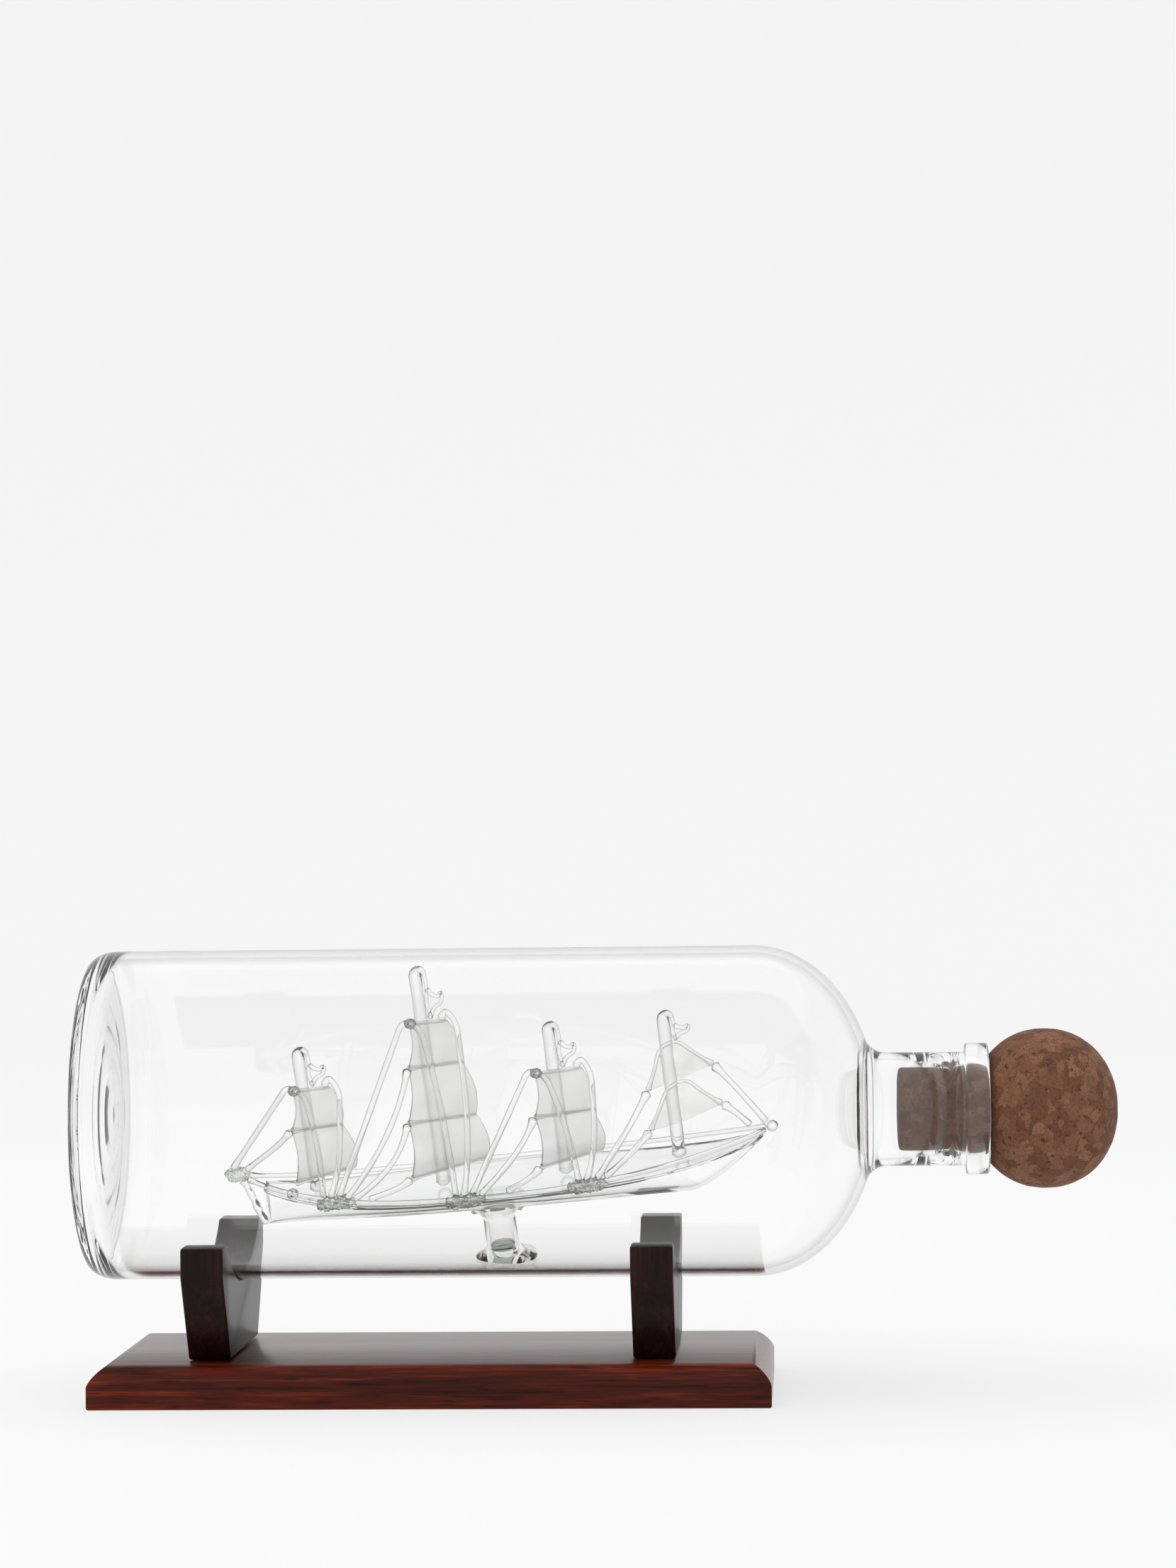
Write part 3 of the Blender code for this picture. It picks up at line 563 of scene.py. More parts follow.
@dataclass
class GlassRod:
    """A drawn rod with round ends, thicker where it is fused at each end."""

    name: str
    points: Sequence[Vector]
    radius: float
    start_swell: float = 1.0
    end_swell: float = 1.0
    swell_length: float = 2.2 * MM
    tapers: Sequence[float] | None = None
    sides: int = 4
    waver: float = 0.05
    waver_length: float = 2.3 * MM
    end_angles: tuple[float, ...] = (88, 70, 50, 25)
    end_room: float = 1.3

    def lengths(self) -> list[float]:
        """How far each point lies along the rod."""
        run = [0.0]
        for first, second in zip(self.points, self.points[1:]):
            run.append(run[-1] + (second - first).length)
        return run

    def thickness(self) -> list[float]:
        """The rod's radius at each point, as a share of its full one."""
        run = self.lengths()
        shares = []
        for i, place in enumerate(run):
            start = math.exp(-((place / self.swell_length) ** 2))
            end = math.exp(-(((run[-1] - place) / self.swell_length) ** 2))
            share = 1 + (self.start_swell - 1) * start + (self.end_swell - 1) * end
            share *= 1 + self.waver * math.sin(place / self.waver_length + 7 * len(self.name))
            shares.append(share * (self.tapers[i] if self.tapers else 1))
        return shares

    def rounded(self) -> tuple[list[Vector], list[float]]:
        """The points and shares with a half ball at each end."""
        points, shares = list(self.points), self.thickness()
        head = (points[0] - points[1]).normalized() * self.radius * shares[0]
        tail = (points[-1] - points[-2]).normalized() * self.radius * shares[-1]
        angles = [math.radians(a) for a in self.end_angles]
        front = [(points[0] + head * math.sin(a) - head, shares[0] * math.cos(a)) for a in angles]
        back = [(points[-1] + tail * math.sin(a) - tail, shares[-1] * math.cos(a)) for a in angles]
        ends = ((points[0], head.length * self.end_room), (points[-1], tail.length * self.end_room))
        inner = [
            (p, s)
            for p, s in zip(points[1:-1], shares[1:-1])
            if all((p - end).length > room for end, room in ends)
        ]
        whole = front + inner + back[::-1]
        return [p for p, _ in whole], [s for _, s in whole]

    def build(self, matrix: Matrix) -> bpy.types.Object:
        """Makes the rod.

        Args:
            matrix: The frame the points are in.

        Returns:
            The rod's mesh object.
        """
        points, shares = self.rounded()
        obj = started(self.name, bpy.ops.curve.primitive_nurbs_path_add, radius=0.01)
        curve = obj.data
        curve.splines.clear()
        spline = curve.splines.new("POLY")
        spline.points.add(len(points) - 1)
        for spot, point, share in zip(spline.points, points, shares):
            spot.co = (*point, 1)
            spot.radius = share
        curve.bevel_depth = self.radius
        curve.bevel_resolution = self.sides
        curve.use_fill_caps = True
        bpy.ops.object.convert(target="MESH")
        edit(obj, lambda: bpy.ops.mesh.remove_doubles(threshold=0.002 * MM))
        settle(obj, matrix)
        return obj


def turned(
    name: str, section: Sequence[tuple[float, float]], matrix: Matrix, steps: int = 128
) -> bpy.types.Object:
    """Spins a closed wall section about local Z.

    Args:
        name: The piece's name.
        section: (radius, height) points round the wall's section.
        matrix: The frame it is turned in.
        steps: How many faces round.

    Returns:
        The turned mesh object.
    """
    obj = started(name, bpy.ops.mesh.primitive_circle_add, vertices=len(section), radius=0.01)
    for vert, (radius, height) in zip(obj.data.vertices, section):
        vert.co = (radius, 0, height)
    edit(
        obj,
        lambda: bpy.ops.mesh.spin(
            steps=steps, angle=2 * math.pi, center=(0, 0, 0), axis=(0, 0, 1), use_auto_merge=True
        ),
        lambda: bpy.ops.mesh.remove_doubles(threshold=0.004 * MM),
        lambda: bpy.ops.mesh.dissolve_degenerate(threshold=0.002 * MM),
        lambda: bpy.ops.mesh.delete_loose(use_verts=True, use_edges=True, use_faces=False),
        lambda: bpy.ops.mesh.normals_make_consistent(inside=False),
    )
    settle(obj, matrix)
    return obj


def cloud_texture(name: str, size_mm: float) -> bpy.types.Texture:
    """A soft noise pattern for uneven hand-worked surfaces."""
    texture = bpy.data.textures.new(name, "CLOUDS")
    texture.noise_scale = size_mm * MM
    texture.noise_depth = 2
    return texture


def lump(
    name: str,
    place: Vector,
    half_size: Sequence[float],
    matrix: Matrix,
    unevenness: float,
    grain_mm: float,
) -> bpy.types.Object:
    """A melted lump of glass.

    Args:
        name: The piece's name.
        place: Its middle.
        half_size: Its half sizes along the frame's axes.
        matrix: The frame these are in.
        unevenness: How far its surface wanders, in metres.
        grain_mm: How wide its bumps are.

    Returns:
        The lump's mesh object.
    """
    obj = started(name, bpy.ops.mesh.primitive_ico_sphere_add, subdivisions=5, radius=1.0)
    settle(obj, Matrix.Diagonal((*half_size, 1)))
    modify(
        obj, "DISPLACE", texture=cloud_texture(name, grain_mm), strength=unevenness, mid_level=0.5,
        texture_coords="LOCAL",
    )
    settle(obj, matrix @ Matrix.Translation(place))
    return obj


# ---- Ship ----


@dataclass(frozen=True)
class Mast:
    """A mast: its place as a share of the half length, its drop from the tallest, and its yards."""

    name: str
    place: float
    drop: float
    yards: tuple[tuple[float, float, float], ...] = ()


@dataclass(frozen=True)
class Jib:
    """A three-cornered sail's corners: along its yard, and height as a share of the mast."""

    name: str
    corners: tuple[tuple[float, float], ...]


@dataclass
class ShipFrame:
    """The ship's own frame and lines: +X to the bow, +Y to starboard, +Z up the masts."""

    heel: float = math.radians(16)
    pitch: float = math.radians(5.5)
    stern_room: float = 38.65 * MM
    bow_reach: float = 5.05 * MM
    base_thickness: float = 3.2 * MM
    body_length: float = 191.6 * MM
    bottle_wall: float = 2 * MM
    mast_clearance: float = 2.1 * MM
    hull_centre: float = 4.5 * MM
    beam: float = 16 * MM
    waist: float = 25.7 * MM
    stern_rise: float = 7.8 * MM
    bow_rise: float = 7.2 * MM
    keel: float = 18.1 * MM
    keel_drop: float = 2 * MM
    keel_slope: float = 1.5 * MM
    stem_start: float = 0.68
    brace: float = math.radians(45)
    jib_brace: float = math.radians(20)
    yard_tilt: float = math.radians(12)
    foot_tilt: float = math.radians(6)
    rail_radius: float = 0.75 * MM

    def __post_init__(self) -> None:
        """Reads the bottle's place and works out the ship's frame in it."""
        low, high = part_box("bottle")
        self.axis_z = (low.z + high.z) / 2
        self.bore = (high.z - low.z) / 2 - self.bottle_wall
        self.base_x = low.x
        reach = self.body_length - self.base_thickness - self.stern_room + self.bow_reach
        self.half_length = reach / (2 * math.cos(self.pitch))
        aft = (self.half_length - self.hull_centre) * math.cos(self.pitch)
        aft += (self.waist + self.stern_rise) * math.sin(self.pitch)
        foot = Vector((
            self.base_x + self.base_thickness + self.stern_room + aft,
            self.bore * math.sin(self.heel),
            self.axis_z - self.bore * math.cos(self.heel),
        ))
        tilt = Matrix.Rotation(self.heel, 4, "X") @ Matrix.Rotation(-self.pitch, 4, "Y")
        self.matrix = Matrix.Translation(foot) @ tilt

    def at(self, share: float) -> float:
        """Distance along the ship of a share of the hull's half length."""
        return self.hull_centre + share * self.half_length

    def share(self, x: float) -> float:
        """The share of the half length at a distance along the ship."""
        return (x - self.hull_centre) / self.half_length

    def half_beam(self, x: float) -> float:
        """Half the hull's width at the rails."""
        share = self.share(x)
        if share < 0:
            return self.beam * max(0.0, 1 - abs(share) ** 2.6) ** 0.9
        return self.beam * max(0.0, 1 - share**2) ** 0.85

    def rail_height(self, x: float) -> float:
        """The rails' sweep up to the stern and the bow."""
        share = self.share(x)
        rise = self.stern_rise * abs(share) ** 3.6 if share < 0 else self.bow_rise * share**2.2
        return self.waist + rise

    def deck_height(self, x: float) -> float:
        """The deck, which sweeps up later than the rails."""
        share = self.share(x)
        rise = self.stern_rise * abs(share) ** 4.5 if share < 0 else self.bow_rise * share**3.5
        return self.waist - self.rail_radius - GAP + rise

    def keel_height(self, x: float) -> float:
        """The keel, lowest at its ends, which climbs to the stem."""
        share = self.share(x)
        run = self.keel - self.keel_slope * share - self.keel_drop * share**2
        if share < self.stem_start:
            return run
        climb = ((share - self.stem_start) / (1 - self.stem_start)) ** 1.3
        return run + climb * (self.waist + self.bow_rise - run)

    def mast_top(self, mast: Mast) -> float:
        """Height of a mast's tip."""
        main = self.at(-0.247)
        room = 2 * self.bore - self.mast_clearance - main * math.sin(self.pitch)
        return room / math.cos(self.pitch) - mast.drop

    def up_mast(self, mast: Mast, share: float) -> float:
        """Height at a share of the mast above the waist."""
        return self.waist + share * (self.mast_top(mast) - self.waist)


@dataclass
class Hull:
    """The blown hull with its deck, pedestal, rails and end knots."""

    ship: ShipFrame
    glass: bpy.types.Material
    thin_glass: bpy.types.Material
    fused_glass: bpy.types.Material
    foot_glass: bpy.types.Material
    ends: tuple[float, float] = (-0.918, 0.962)
    rail_ends: tuple[float, float] = (-0.975, 0.975)
    wall: float = 0.9 * MM
    pedestal_radius: float = 4.7 * MM
    pedestal_wall: float = 1 * MM
    pedestal_top: float = 8.6 * MM
    pedestal_foot: float = 9.5 * MM
    ear_half: tuple[float, float, float] = (1.9 * MM, 1.5 * MM, 1.1 * MM)
    knot_half: tuple[float, float, float] = (3.7 * MM, 2.2 * MM, 2.2 * MM)
    bead_half: tuple[float, float, float] = (5.6 * MM, 1.9 * MM, 2 * MM)
    bead_places: Mapping[str, float] = field(
        default_factory=lambda: {"aft": -0.633, "main": -0.1475, "middle": 0.307}
    )

    def fuse(
        self, obj: bpy.types.Object, glass: bpy.types.Material, *nodes: str, smooth_angle: float = 40.0
    ) -> None:
        """Finishes a piece of the hull in its glass."""
        dress(obj, glass, Body.BOTTLE, nodes, smooth_angle)

    def sheet(
        self, name: str, place: Callable[[float, float], Vector], across: int
    ) -> bpy.types.Object:
        """A sheet lofted along the hull.

        Args:
            name: The sheet's name.
            place: A point from the distance along the ship and the share across, 0 to 1.
            across: How many faces across.

        Returns:
            The sheet's mesh object, in the ship's frame.
        """
        obj = started(
            name, bpy.ops.mesh.primitive_grid_add, x_subdivisions=72, y_subdivisions=across, size=1.0
        )
        for vert in obj.data.vertices:
            along = self.ends[0] + (self.ends[1] - self.ends[0]) * (vert.co.x + 0.5)
            vert.co = place(self.ship.at(along), vert.co.y + 0.5)
        return obj

    def side_point(self, x: float, share: float) -> Vector:
        """A point on the U-shaped section at x."""
        ship = self.ship
        angle = math.pi * (share - 0.5)
        top = ship.deck_height(x)
        depth = top - ship.keel_height(x)
        return Vector((x, ship.half_beam(x) * math.sin(angle), top - depth * math.cos(angle)))

    def deck_point(self, x: float, share: float) -> Vector:
        """A point on the deck, which dips a little between the rails."""
        ship = self.ship
        dip = 0.5 * MM * math.sin(math.pi * share)
        return Vector((x, ship.half_beam(x) * (2 * share - 1), ship.deck_height(x) - dip))

    def make_shell(self) -> None:
        """The hull and its deck as one thin closed shell."""
        sides = self.sheet("glass_hull", self.side_point, 40)
        deck = self.sheet("deck", self.deck_point, 24)
        select_only(sides)
        deck.select_set(True)
        bpy.ops.object.join()
        edit(
            sides,
            lambda: bpy.ops.mesh.remove_doubles(threshold=0.02 * MM),
            lambda: bpy.ops.mesh.fill_holes(sides=0),
            lambda: bpy.ops.mesh.normals_make_consistent(inside=False),
        )
        modify(sides, "SOLIDIFY", thickness=self.wall, offset=-1.0)
        settle(sides, self.ship.matrix)
        self.fuse(sides, self.thin_glass, "hull")

    def pedestal_section(self) -> list[tuple[float, float]]:
        """The spool's wall, from its top rim down to its foot and back up the bore."""
        ship = self.ship
        top = ship.keel_height(self.pedestal_top) + 0.2 * MM
        bore = self.pedestal_radius - self.pedestal_wall
        outside = []
        steps = 14
        waist = self.pedestal_radius
        flare, spread = self.pedestal_top - waist, self.pedestal_foot - waist
        for i in range(steps + 1):
            s = 1 - i / steps
            outside.append((waist + flare * s**1.8, top - 1.35 * flare * (1 - s) ** 0.8))
        low = 1.15 * spread
        for i in range(steps + 1):
            s = i / steps
            outside.append((waist + spread * s**2.4, low * (1 - s) + 0.4 * MM * s))
        under = -2 * MM
        inside = [(self.pedestal_foot, under), (bore, under), (bore, low), (bore, top - 1.5 * MM)]
        return outside + inside + [(bore + 0.8 * MM, top)]

    def make_pedestal(self) -> None:
        """The hollow pedestal, cut to the bottle's curve, its two ears and the lens in its foot."""
        ship = self.ship
        pedestal = turned("glass_pedestal", self.pedestal_section(), ship.matrix, 64)
        bore = started(
            "bore_cutter", bpy.ops.mesh.primitive_cylinder_add, vertices=256,
            radius=ship.bore - 0.15 * MM, depth=60 * MM,
        )
        turn = Matrix.Rotation(math.pi / 2, 4, "Y")
        settle(bore, Matrix.Translation((ship.matrix.translation.x, 0, ship.axis_z)) @ turn)
        modify(pedestal, "BOOLEAN", operation="INTERSECT", object=bore, solver="EXACT")
        bpy.data.objects.remove(bore)
        self.fuse(pedestal, self.thin_glass, "pedestal")
        for side, along, drop in (("aft", -5.6, 2.2), ("fore", 5.8, 1.9)):
            place = Vector((along, -1.0, ship.keel_height(0) / MM - drop)) * MM
            ear = lump(f"pedestal_ear_{side}", place, self.ear_half, ship.matrix, 1.6 * MM, 1.3)
            self.fuse(ear, self.fused_glass, smooth_angle=LUMP_ANGLE)
        lens = self.pedestal_radius - self.pedestal_wall - 0.05 * MM
        rim, thick = 4.2 * MM, 1.2 * MM
        section = [(0.0, 5 * MM), (lens * 0.6, 4.8 * MM), (lens, rim), (lens, rim - thick)]
        section += [(lens * 0.6, 3.5 * MM), (0.0, 3.7 * MM)]
        self.fuse(turned("pedestal_seal", section, ship.matrix, 48), self.foot_glass)

    def rail_line(self, side: int) -> list[Vector]:
        """Points along a rail: side is -1 to port and 1 to starboard."""
        ship, count = self.ship, 60
        line = []
        for i in range(count + 1):
            x = ship.at(self.rail_ends[0] + (self.rail_ends[1] - self.rail_ends[0]) * i / count)
            line.append(Vector((x, side * ship.half_beam(x), ship.rail_height(x))))
        return line

    def make_rails(self) -> None:
        """The two rails, each fused into the knots at its ends, and the ring on the port one."""
        for name, side in (("port_rail", -1), ("starboard_rail", 1)):
            rod = GlassRod("glass_" + name, self.rail_line(side), self.ship.rail_radius, 1.6, 1.4)
            self.fuse(rod.build(self.ship.matrix), self.glass, name)
        x = self.ship.at(-0.80)
        ring = started(
            "port_rail_ring", bpy.ops.mesh.primitive_torus_add, major_segments=32, minor_segments=12,
            major_radius=1.15 * MM, minor_radius=0.55 * MM,
        )
        place = Vector((x, -self.ship.half_beam(x), self.ship.rail_height(x)))
        slope = math.radians(-34)
        turn = Matrix.Rotation(slope, 4, "Z") @ Matrix.Rotation(math.pi / 2, 4, "Y")
        stretch = Matrix.Diagonal((1, 1, 2.2, 1))
        settle(ring, self.ship.matrix @ Matrix.Translation(place) @ turn @ stretch)
        self.fuse(ring, self.glass)

    def knot_place(self) -> Vector:
        """The middle of the stern knot."""
        ship = self.ship
        x = ship.at(-1) - self.knot_half[0] / 3
        return Vector((x, 0, ship.waist + ship.stern_rise + self.knot_half[2] / 4))

    def bow_place(self) -> Vector:
        """The middle of the bow bead."""
        return Vector((self.ship.at(1), 0, self.ship.waist + self.ship.bow_rise))

    def make_ends(self) -> None:
        """The stern knot, the post under it, and the bow bead."""
        ship = self.ship
        knot = lump(
            "glass_stern_knot", self.knot_place(), self.knot_half, ship.matrix, 2.2 * MM, 1.6
        )
        self.fuse(knot, self.fused_glass, "stern_knot", smooth_angle=LUMP_ANGLE)
        bead = lump("glass_bow_bead", self.bow_place(), (1.7 * MM,) * 3, ship.matrix, 0.3 * MM, 1.5)
        self.fuse(bead, self.glass, "bow_bead", smooth_angle=LUMP_ANGLE)
        foot_x = ship.at(self.ends[0]) - 0.9 * MM
        low = Vector((foot_x, 0, ship.keel_height(foot_x)))
        high = self.knot_place() + Vector((1.2 * MM, 0, -1.5 * MM))
        span = high - low
        bow = Vector((-0.8 * MM, 0, 0))
        line = bezier((low, low + span / 3 + bow, high - span / 3 - bow, high), 24)
        swells = [1.35 + 0.14 * math.sin(i * 0.9) for i in range(24)]
        post = GlassRod("glass_stern_post", line, 0.8 * MM, 1.2, 1.2, tapers=swells)
        self.fuse(post.build(ship.matrix), self.glass, "stern_post")

    def bead_place(self, bead: str) -> Vector:
        """The middle of a joint bead on the port rail."""
        x = self.ship.at(self.bead_places[bead])
        return Vector((x, -self.ship.half_beam(x), self.ship.rail_height(x) - 0.4 * MM))

    def make_beads(self) -> None:
        """The melted lumps where the stays are gathered on the port rail."""
        for bead in self.bead_places:
            place = self.bead_place(bead)
            made = lump(
                "glass_bead_" + bead, place, self.bead_half, self.ship.matrix, 3.0 * MM, 1.5
            )
            self.fuse(made, self.fused_glass, "joint_bead_" + bead, smooth_angle=LUMP_ANGLE)

    def build(self) -> None:
        """Makes the hull and all that is fused to it."""
        self.make_shell()
        self.make_pedestal()
        self.make_rails()
        self.make_ends()
        self.make_beads()


@dataclass
class Rig:
    """Masts, pennants, sails and stays."""

    hull: Hull
    glass: bpy.types.Material
    frosted: bpy.types.Material
    faint: bpy.types.Material
    low_drop: float = 19.9 * MM
    mast_radius: float = 1.85 * MM
    hook: float = 2.6 * MM
    strand: float = 0.5 * MM
    rod: float = 0.9 * MM
    sail: float = 0.9 * MM
    belly: float = 3 * MM
    stay_bow: float = 4 * MM
    far_lean: float = 0.045
    bead_spacing: float = 2.4 * MM

    def __post_init__(self) -> None:
        """Sets out the masts and the fore sails."""
        self.ship = self.hull.ship
        self.offset = self.mast_radius + GAP + self.sail / 2
        self.masts = (
            Mast("aft", -0.722, self.low_drop, (
                (0.727, 5.5, 7.7), (0.467, 7.8, 10.1), (0.136, 8.8, 13.0))),
            Mast("main", -0.247, 0.0, (
                (0.76, 6.5, 7.1), (0.56, 8.8, 10.7), (0.307, 11.5, 13.1), (0.072, 12.9, 15.3))),
            Mast("middle", 0.216, self.low_drop, (
                (0.688, 9.1, 8.3), (0.40, 11.0, 9.7), (0.09, 11.0, 12.7))),
        )
        self.fore = Mast("fore", 0.6435, self.low_drop)
        self.jibs = (
            Jib("upper", ((2.6, 0.795), (12.5, 0.6), (0.5, 0.545), (-7.8, 0.515), (-2.5, 0.775))),
            Jib("lower", ((3.6, 0.53), (13.8, 0.325), (1.7, 0.265), (-8.5, 0.25), (-1.8, 0.5))),
        )
        self.landings: dict[str, tuple[tuple, tuple]] = {
            "aft": ((), (("aft", -1.6), ("aft", -0.7))),
            "main": (
                (("aft", 0.3), ("aft", 1.25), ("aft", 2.2), ("aft", 4)),
                (("main", -1.1), ("main", -0.15)),
            ),
            "middle": (
                (("main", 0.8), ("main", 1.8), ("main", 5)),
                (("middle", -1), ("middle", -0.1)),
            ),
            "fore": ((("middle", 1.1), ("middle", 2.1)), ()),
        }

    def dress_glass(self, obj: bpy.types.Object, *nodes: str) -> None:
        """Finishes a clear piece of the rig."""
        dress(obj, self.glass, Body.BOTTLE, nodes, ROD_ANGLE)

    def draw(self, rod: GlassRod, *nodes: str) -> None:
        """Makes a clear rod and finishes it."""
        self.dress_glass(rod.build(self.ship.matrix), *nodes)

    def make_mast(self, mast: Mast, sail_top: float) -> None:
        """A mast whose tip is bent over and drawn down to a strand, with a curled pennant on it.

        Args:
            mast: The mast.
            sail_top: Height of the first yard.
        """
        ship = self.ship
        x, top = ship.at(mast.place), ship.mast_top(mast)
        foot = ship.deck_height(x) - 0.2 * MM
        bend = self.hook / 2
        crown = top - bend - 0.6 * self.mast_radius
        points = [Vector((x, 0, foot + rise * MM)) for rise in (0, 1, 2, 4)]
        tapers = [1.35, 1.3, 1.1, 1.0]
        for i in range(1, 13):
            points.append(Vector((x, 0, foot + 4 * MM + (crown - foot - 4 * MM) * i / 13)))
            tapers.append(1.0)
        for i in range(13):
            angle = math.pi * (1 - i / 12)
            out, up = bend * math.cos(angle), bend * math.sin(angle)
            points.append(Vector((x + bend + out, 0, crown + up)))
            tapers.append(1.0 - (1.0 - 1.2 * self.strand / self.mast_radius) * (i / 12) ** 1.3)
        for i in range(1, 9):
            drop = (crown - sail_top) * i / 8
            points.append(Vector((x + self.hook + 0.25 * MM * math.sin(i), 0, crown - drop)))
            tapers.append(self.strand / self.mast_radius * 1.2)
        rod = GlassRod("glass_mast_" + mast.name, points, self.mast_radius, tapers=tapers, sides=6)
        self.draw(rod, "mast_" + mast.name)
        start = x + self.hook + self.strand
        length = crown - sail_top
        wave = ((-0.1, 0.3), (0.3, 0.45), (0.75, 0.5), (1.0, 0.42), (1.05, 0.55), (0.85, 0.66))
        wave += ((0.4, 0.74), (0.0, 0.9), (-0.15, 1.0))
        line = [Vector((start + out * 3.6 * MM, 0, crown - down * length)) for out, down in wave]
        flag = GlassRod("glass_pennant_" + mast.name, smooth_line(line, 5), 0.6 * MM, 1.3, 1.5)
        self.draw(flag, "pennant_" + mast.name)

    def yard_point(
        self, mast: Mast, along: float, out: float, height: float, tilt: float
    ) -> Vector:
        """A point on a mast's sail plane: along the yard, out in front of it, and up."""
        brace = self.ship.brace
        x = self.ship.at(mast.place) + along * math.cos(brace) + out * math.sin(brace)
        y = along * math.sin(brace) - out * math.cos(brace)
        return Vector((x, y, height - along * math.sin(tilt)))

    def tilt(self, mast: Mast, yard: int) -> float:
        """How far a yard hangs."""
        return self.ship.foot_tilt if yard == len(mast.yards) - 1 else self.ship.yard_tilt

    def make_sails(self, mast: Mast) -> None:
        """One bellied sheet between each pair of yards, and a rod along each seam."""
        ship = self.ship
        for tier, (upper, lower) in enumerate(zip(mast.yards, mast.yards[1:])):
            top, bottom = ship.up_mast(mast, upper[0]), ship.up_mast(mast, lower[0])
            tilt, foot_tilt = self.tilt(mast, tier), self.tilt(mast, tier + 1)
            obj = started(
                f"frosted_sail_{mast.name}_{tier + 1}", bpy.ops.mesh.primitive_grid_add,
                x_subdivisions=28, y_subdivisions=28, size=1.0,
            )
            for vert in obj.data.vertices:
                across, down = vert.co.x + 0.5, 0.5 - vert.co.y
                bulge = math.sin(math.pi * min(1.0, down * 0.98 + 0.01))
                near = (upper[1] + (lower[1] - upper[1]) * down) * MM - 0.5 * MM * bulge
                far = (upper[2] + (lower[2] - upper[2]) * down) * MM
                out = self.offset + self.belly * (0.35 + 0.65 * across) * bulge
                along = -near + (near + far) * across
                height = top + (bottom - top) * down
                lean = tilt + (foot_tilt - tilt) * down
                vert.co = self.yard_point(mast, along, out, height, lean)
            modify(obj, "SOLIDIFY", thickness=self.sail, offset=0.0)
            modify(obj, "BEVEL", width=0.25 * MM, segments=2, limit_method="ANGLE")
            settle(obj, ship.matrix)
            node = f"sail_{mast.name}_{tier + 1}"
            dress(obj, self.frosted, Body.BOTTLE, [node], SHEET_ANGLE)
        for yard, (height, near, far) in enumerate(mast.yards):
            out, up = self.offset + 0.15 * MM, ship.up_mast(mast, height)
            line = [
                self.yard_point(mast, along * MM, out, up, self.tilt(mast, yard))
                for along in (-near - 0.5, -near / 2, 0, far / 2, far - 0.2)
            ]
            rod = GlassRod(f"yard_{mast.name}_{yard + 1}", smooth_line(line, 5), 0.62 * MM, 1.7, 1.2)
            dress(rod.build(ship.matrix), self.frosted, Body.BOTTLE)

    def jib_point(self, along: float, out: float, height: float) -> Vector:
        """A point on the fore sails' plane."""
        brace = self.ship.jib_brace
        x = self.ship.at(self.fore.place) + along * math.cos(brace) + out * math.sin(brace)
        return Vector((x, along * math.sin(brace) - out * math.cos(brace), height))

    def make_jib(self, jib: Jib) -> None:
        """A flat three-cornered sail with rods fused along its edges."""
        ship = self.ship
        corners = [
            self.jib_point(along * MM, self.offset, ship.up_mast(self.fore, height))
            for along, height in jib.corners
        ]
        obj = started(
            "frosted_sail_fore_" + jib.name, bpy.ops.mesh.primitive_circle_add,
            vertices=len(corners), radius=0.01, fill_type="NGON",
        )
        for vert, corner in zip(obj.data.vertices, corners):
            vert.co = corner
        modify(obj, "SOLIDIFY", thickness=self.sail, offset=0.0)
        edit(
            obj,
            lambda: bpy.ops.mesh.normals_make_consistent(inside=False),
            lambda: bpy.ops.mesh.bevel(offset=0.3 * MM, segments=2, affect="EDGES"),
        )
        settle(obj, ship.matrix)
        dress(obj, self.faint, Body.BOTTLE, ["sail_fore_" + jib.name], SHEET_ANGLE)
        edge = [corners[3], corners[3].lerp(corners[4], 0.5), corners[4], corners[0]]
        edge += [corners[0].lerp(corners[1], 0.5), corners[1]]
        self.draw(GlassRod(f"jib_edge_{jib.name}", smooth_line(edge, 6), 0.55 * MM, 1.9, 2.2))

    def landing(self, bead: str, slot: float) -> Vector:
        """Where a stay lands: on a bead, or past its end on the port rail."""
        ship = self.ship
        x = ship.at(self.hull.bead_places[bead]) + slot * self.bead_spacing
        return Vector((x, -ship.half_beam(x), ship.rail_height(x) + 0.9 * MM))

    def yard_end(
        self, mast: Mast, yard: int, along: float, out: float = 0.0, up: float = 0.0
    ) -> Vector:
        """A point near the end of a yard."""
        height = self.ship.up_mast(mast, mast.yards[yard][0]) + up
        return self.yard_point(mast, along, self.offset + out, height, self.tilt(mast, yard))

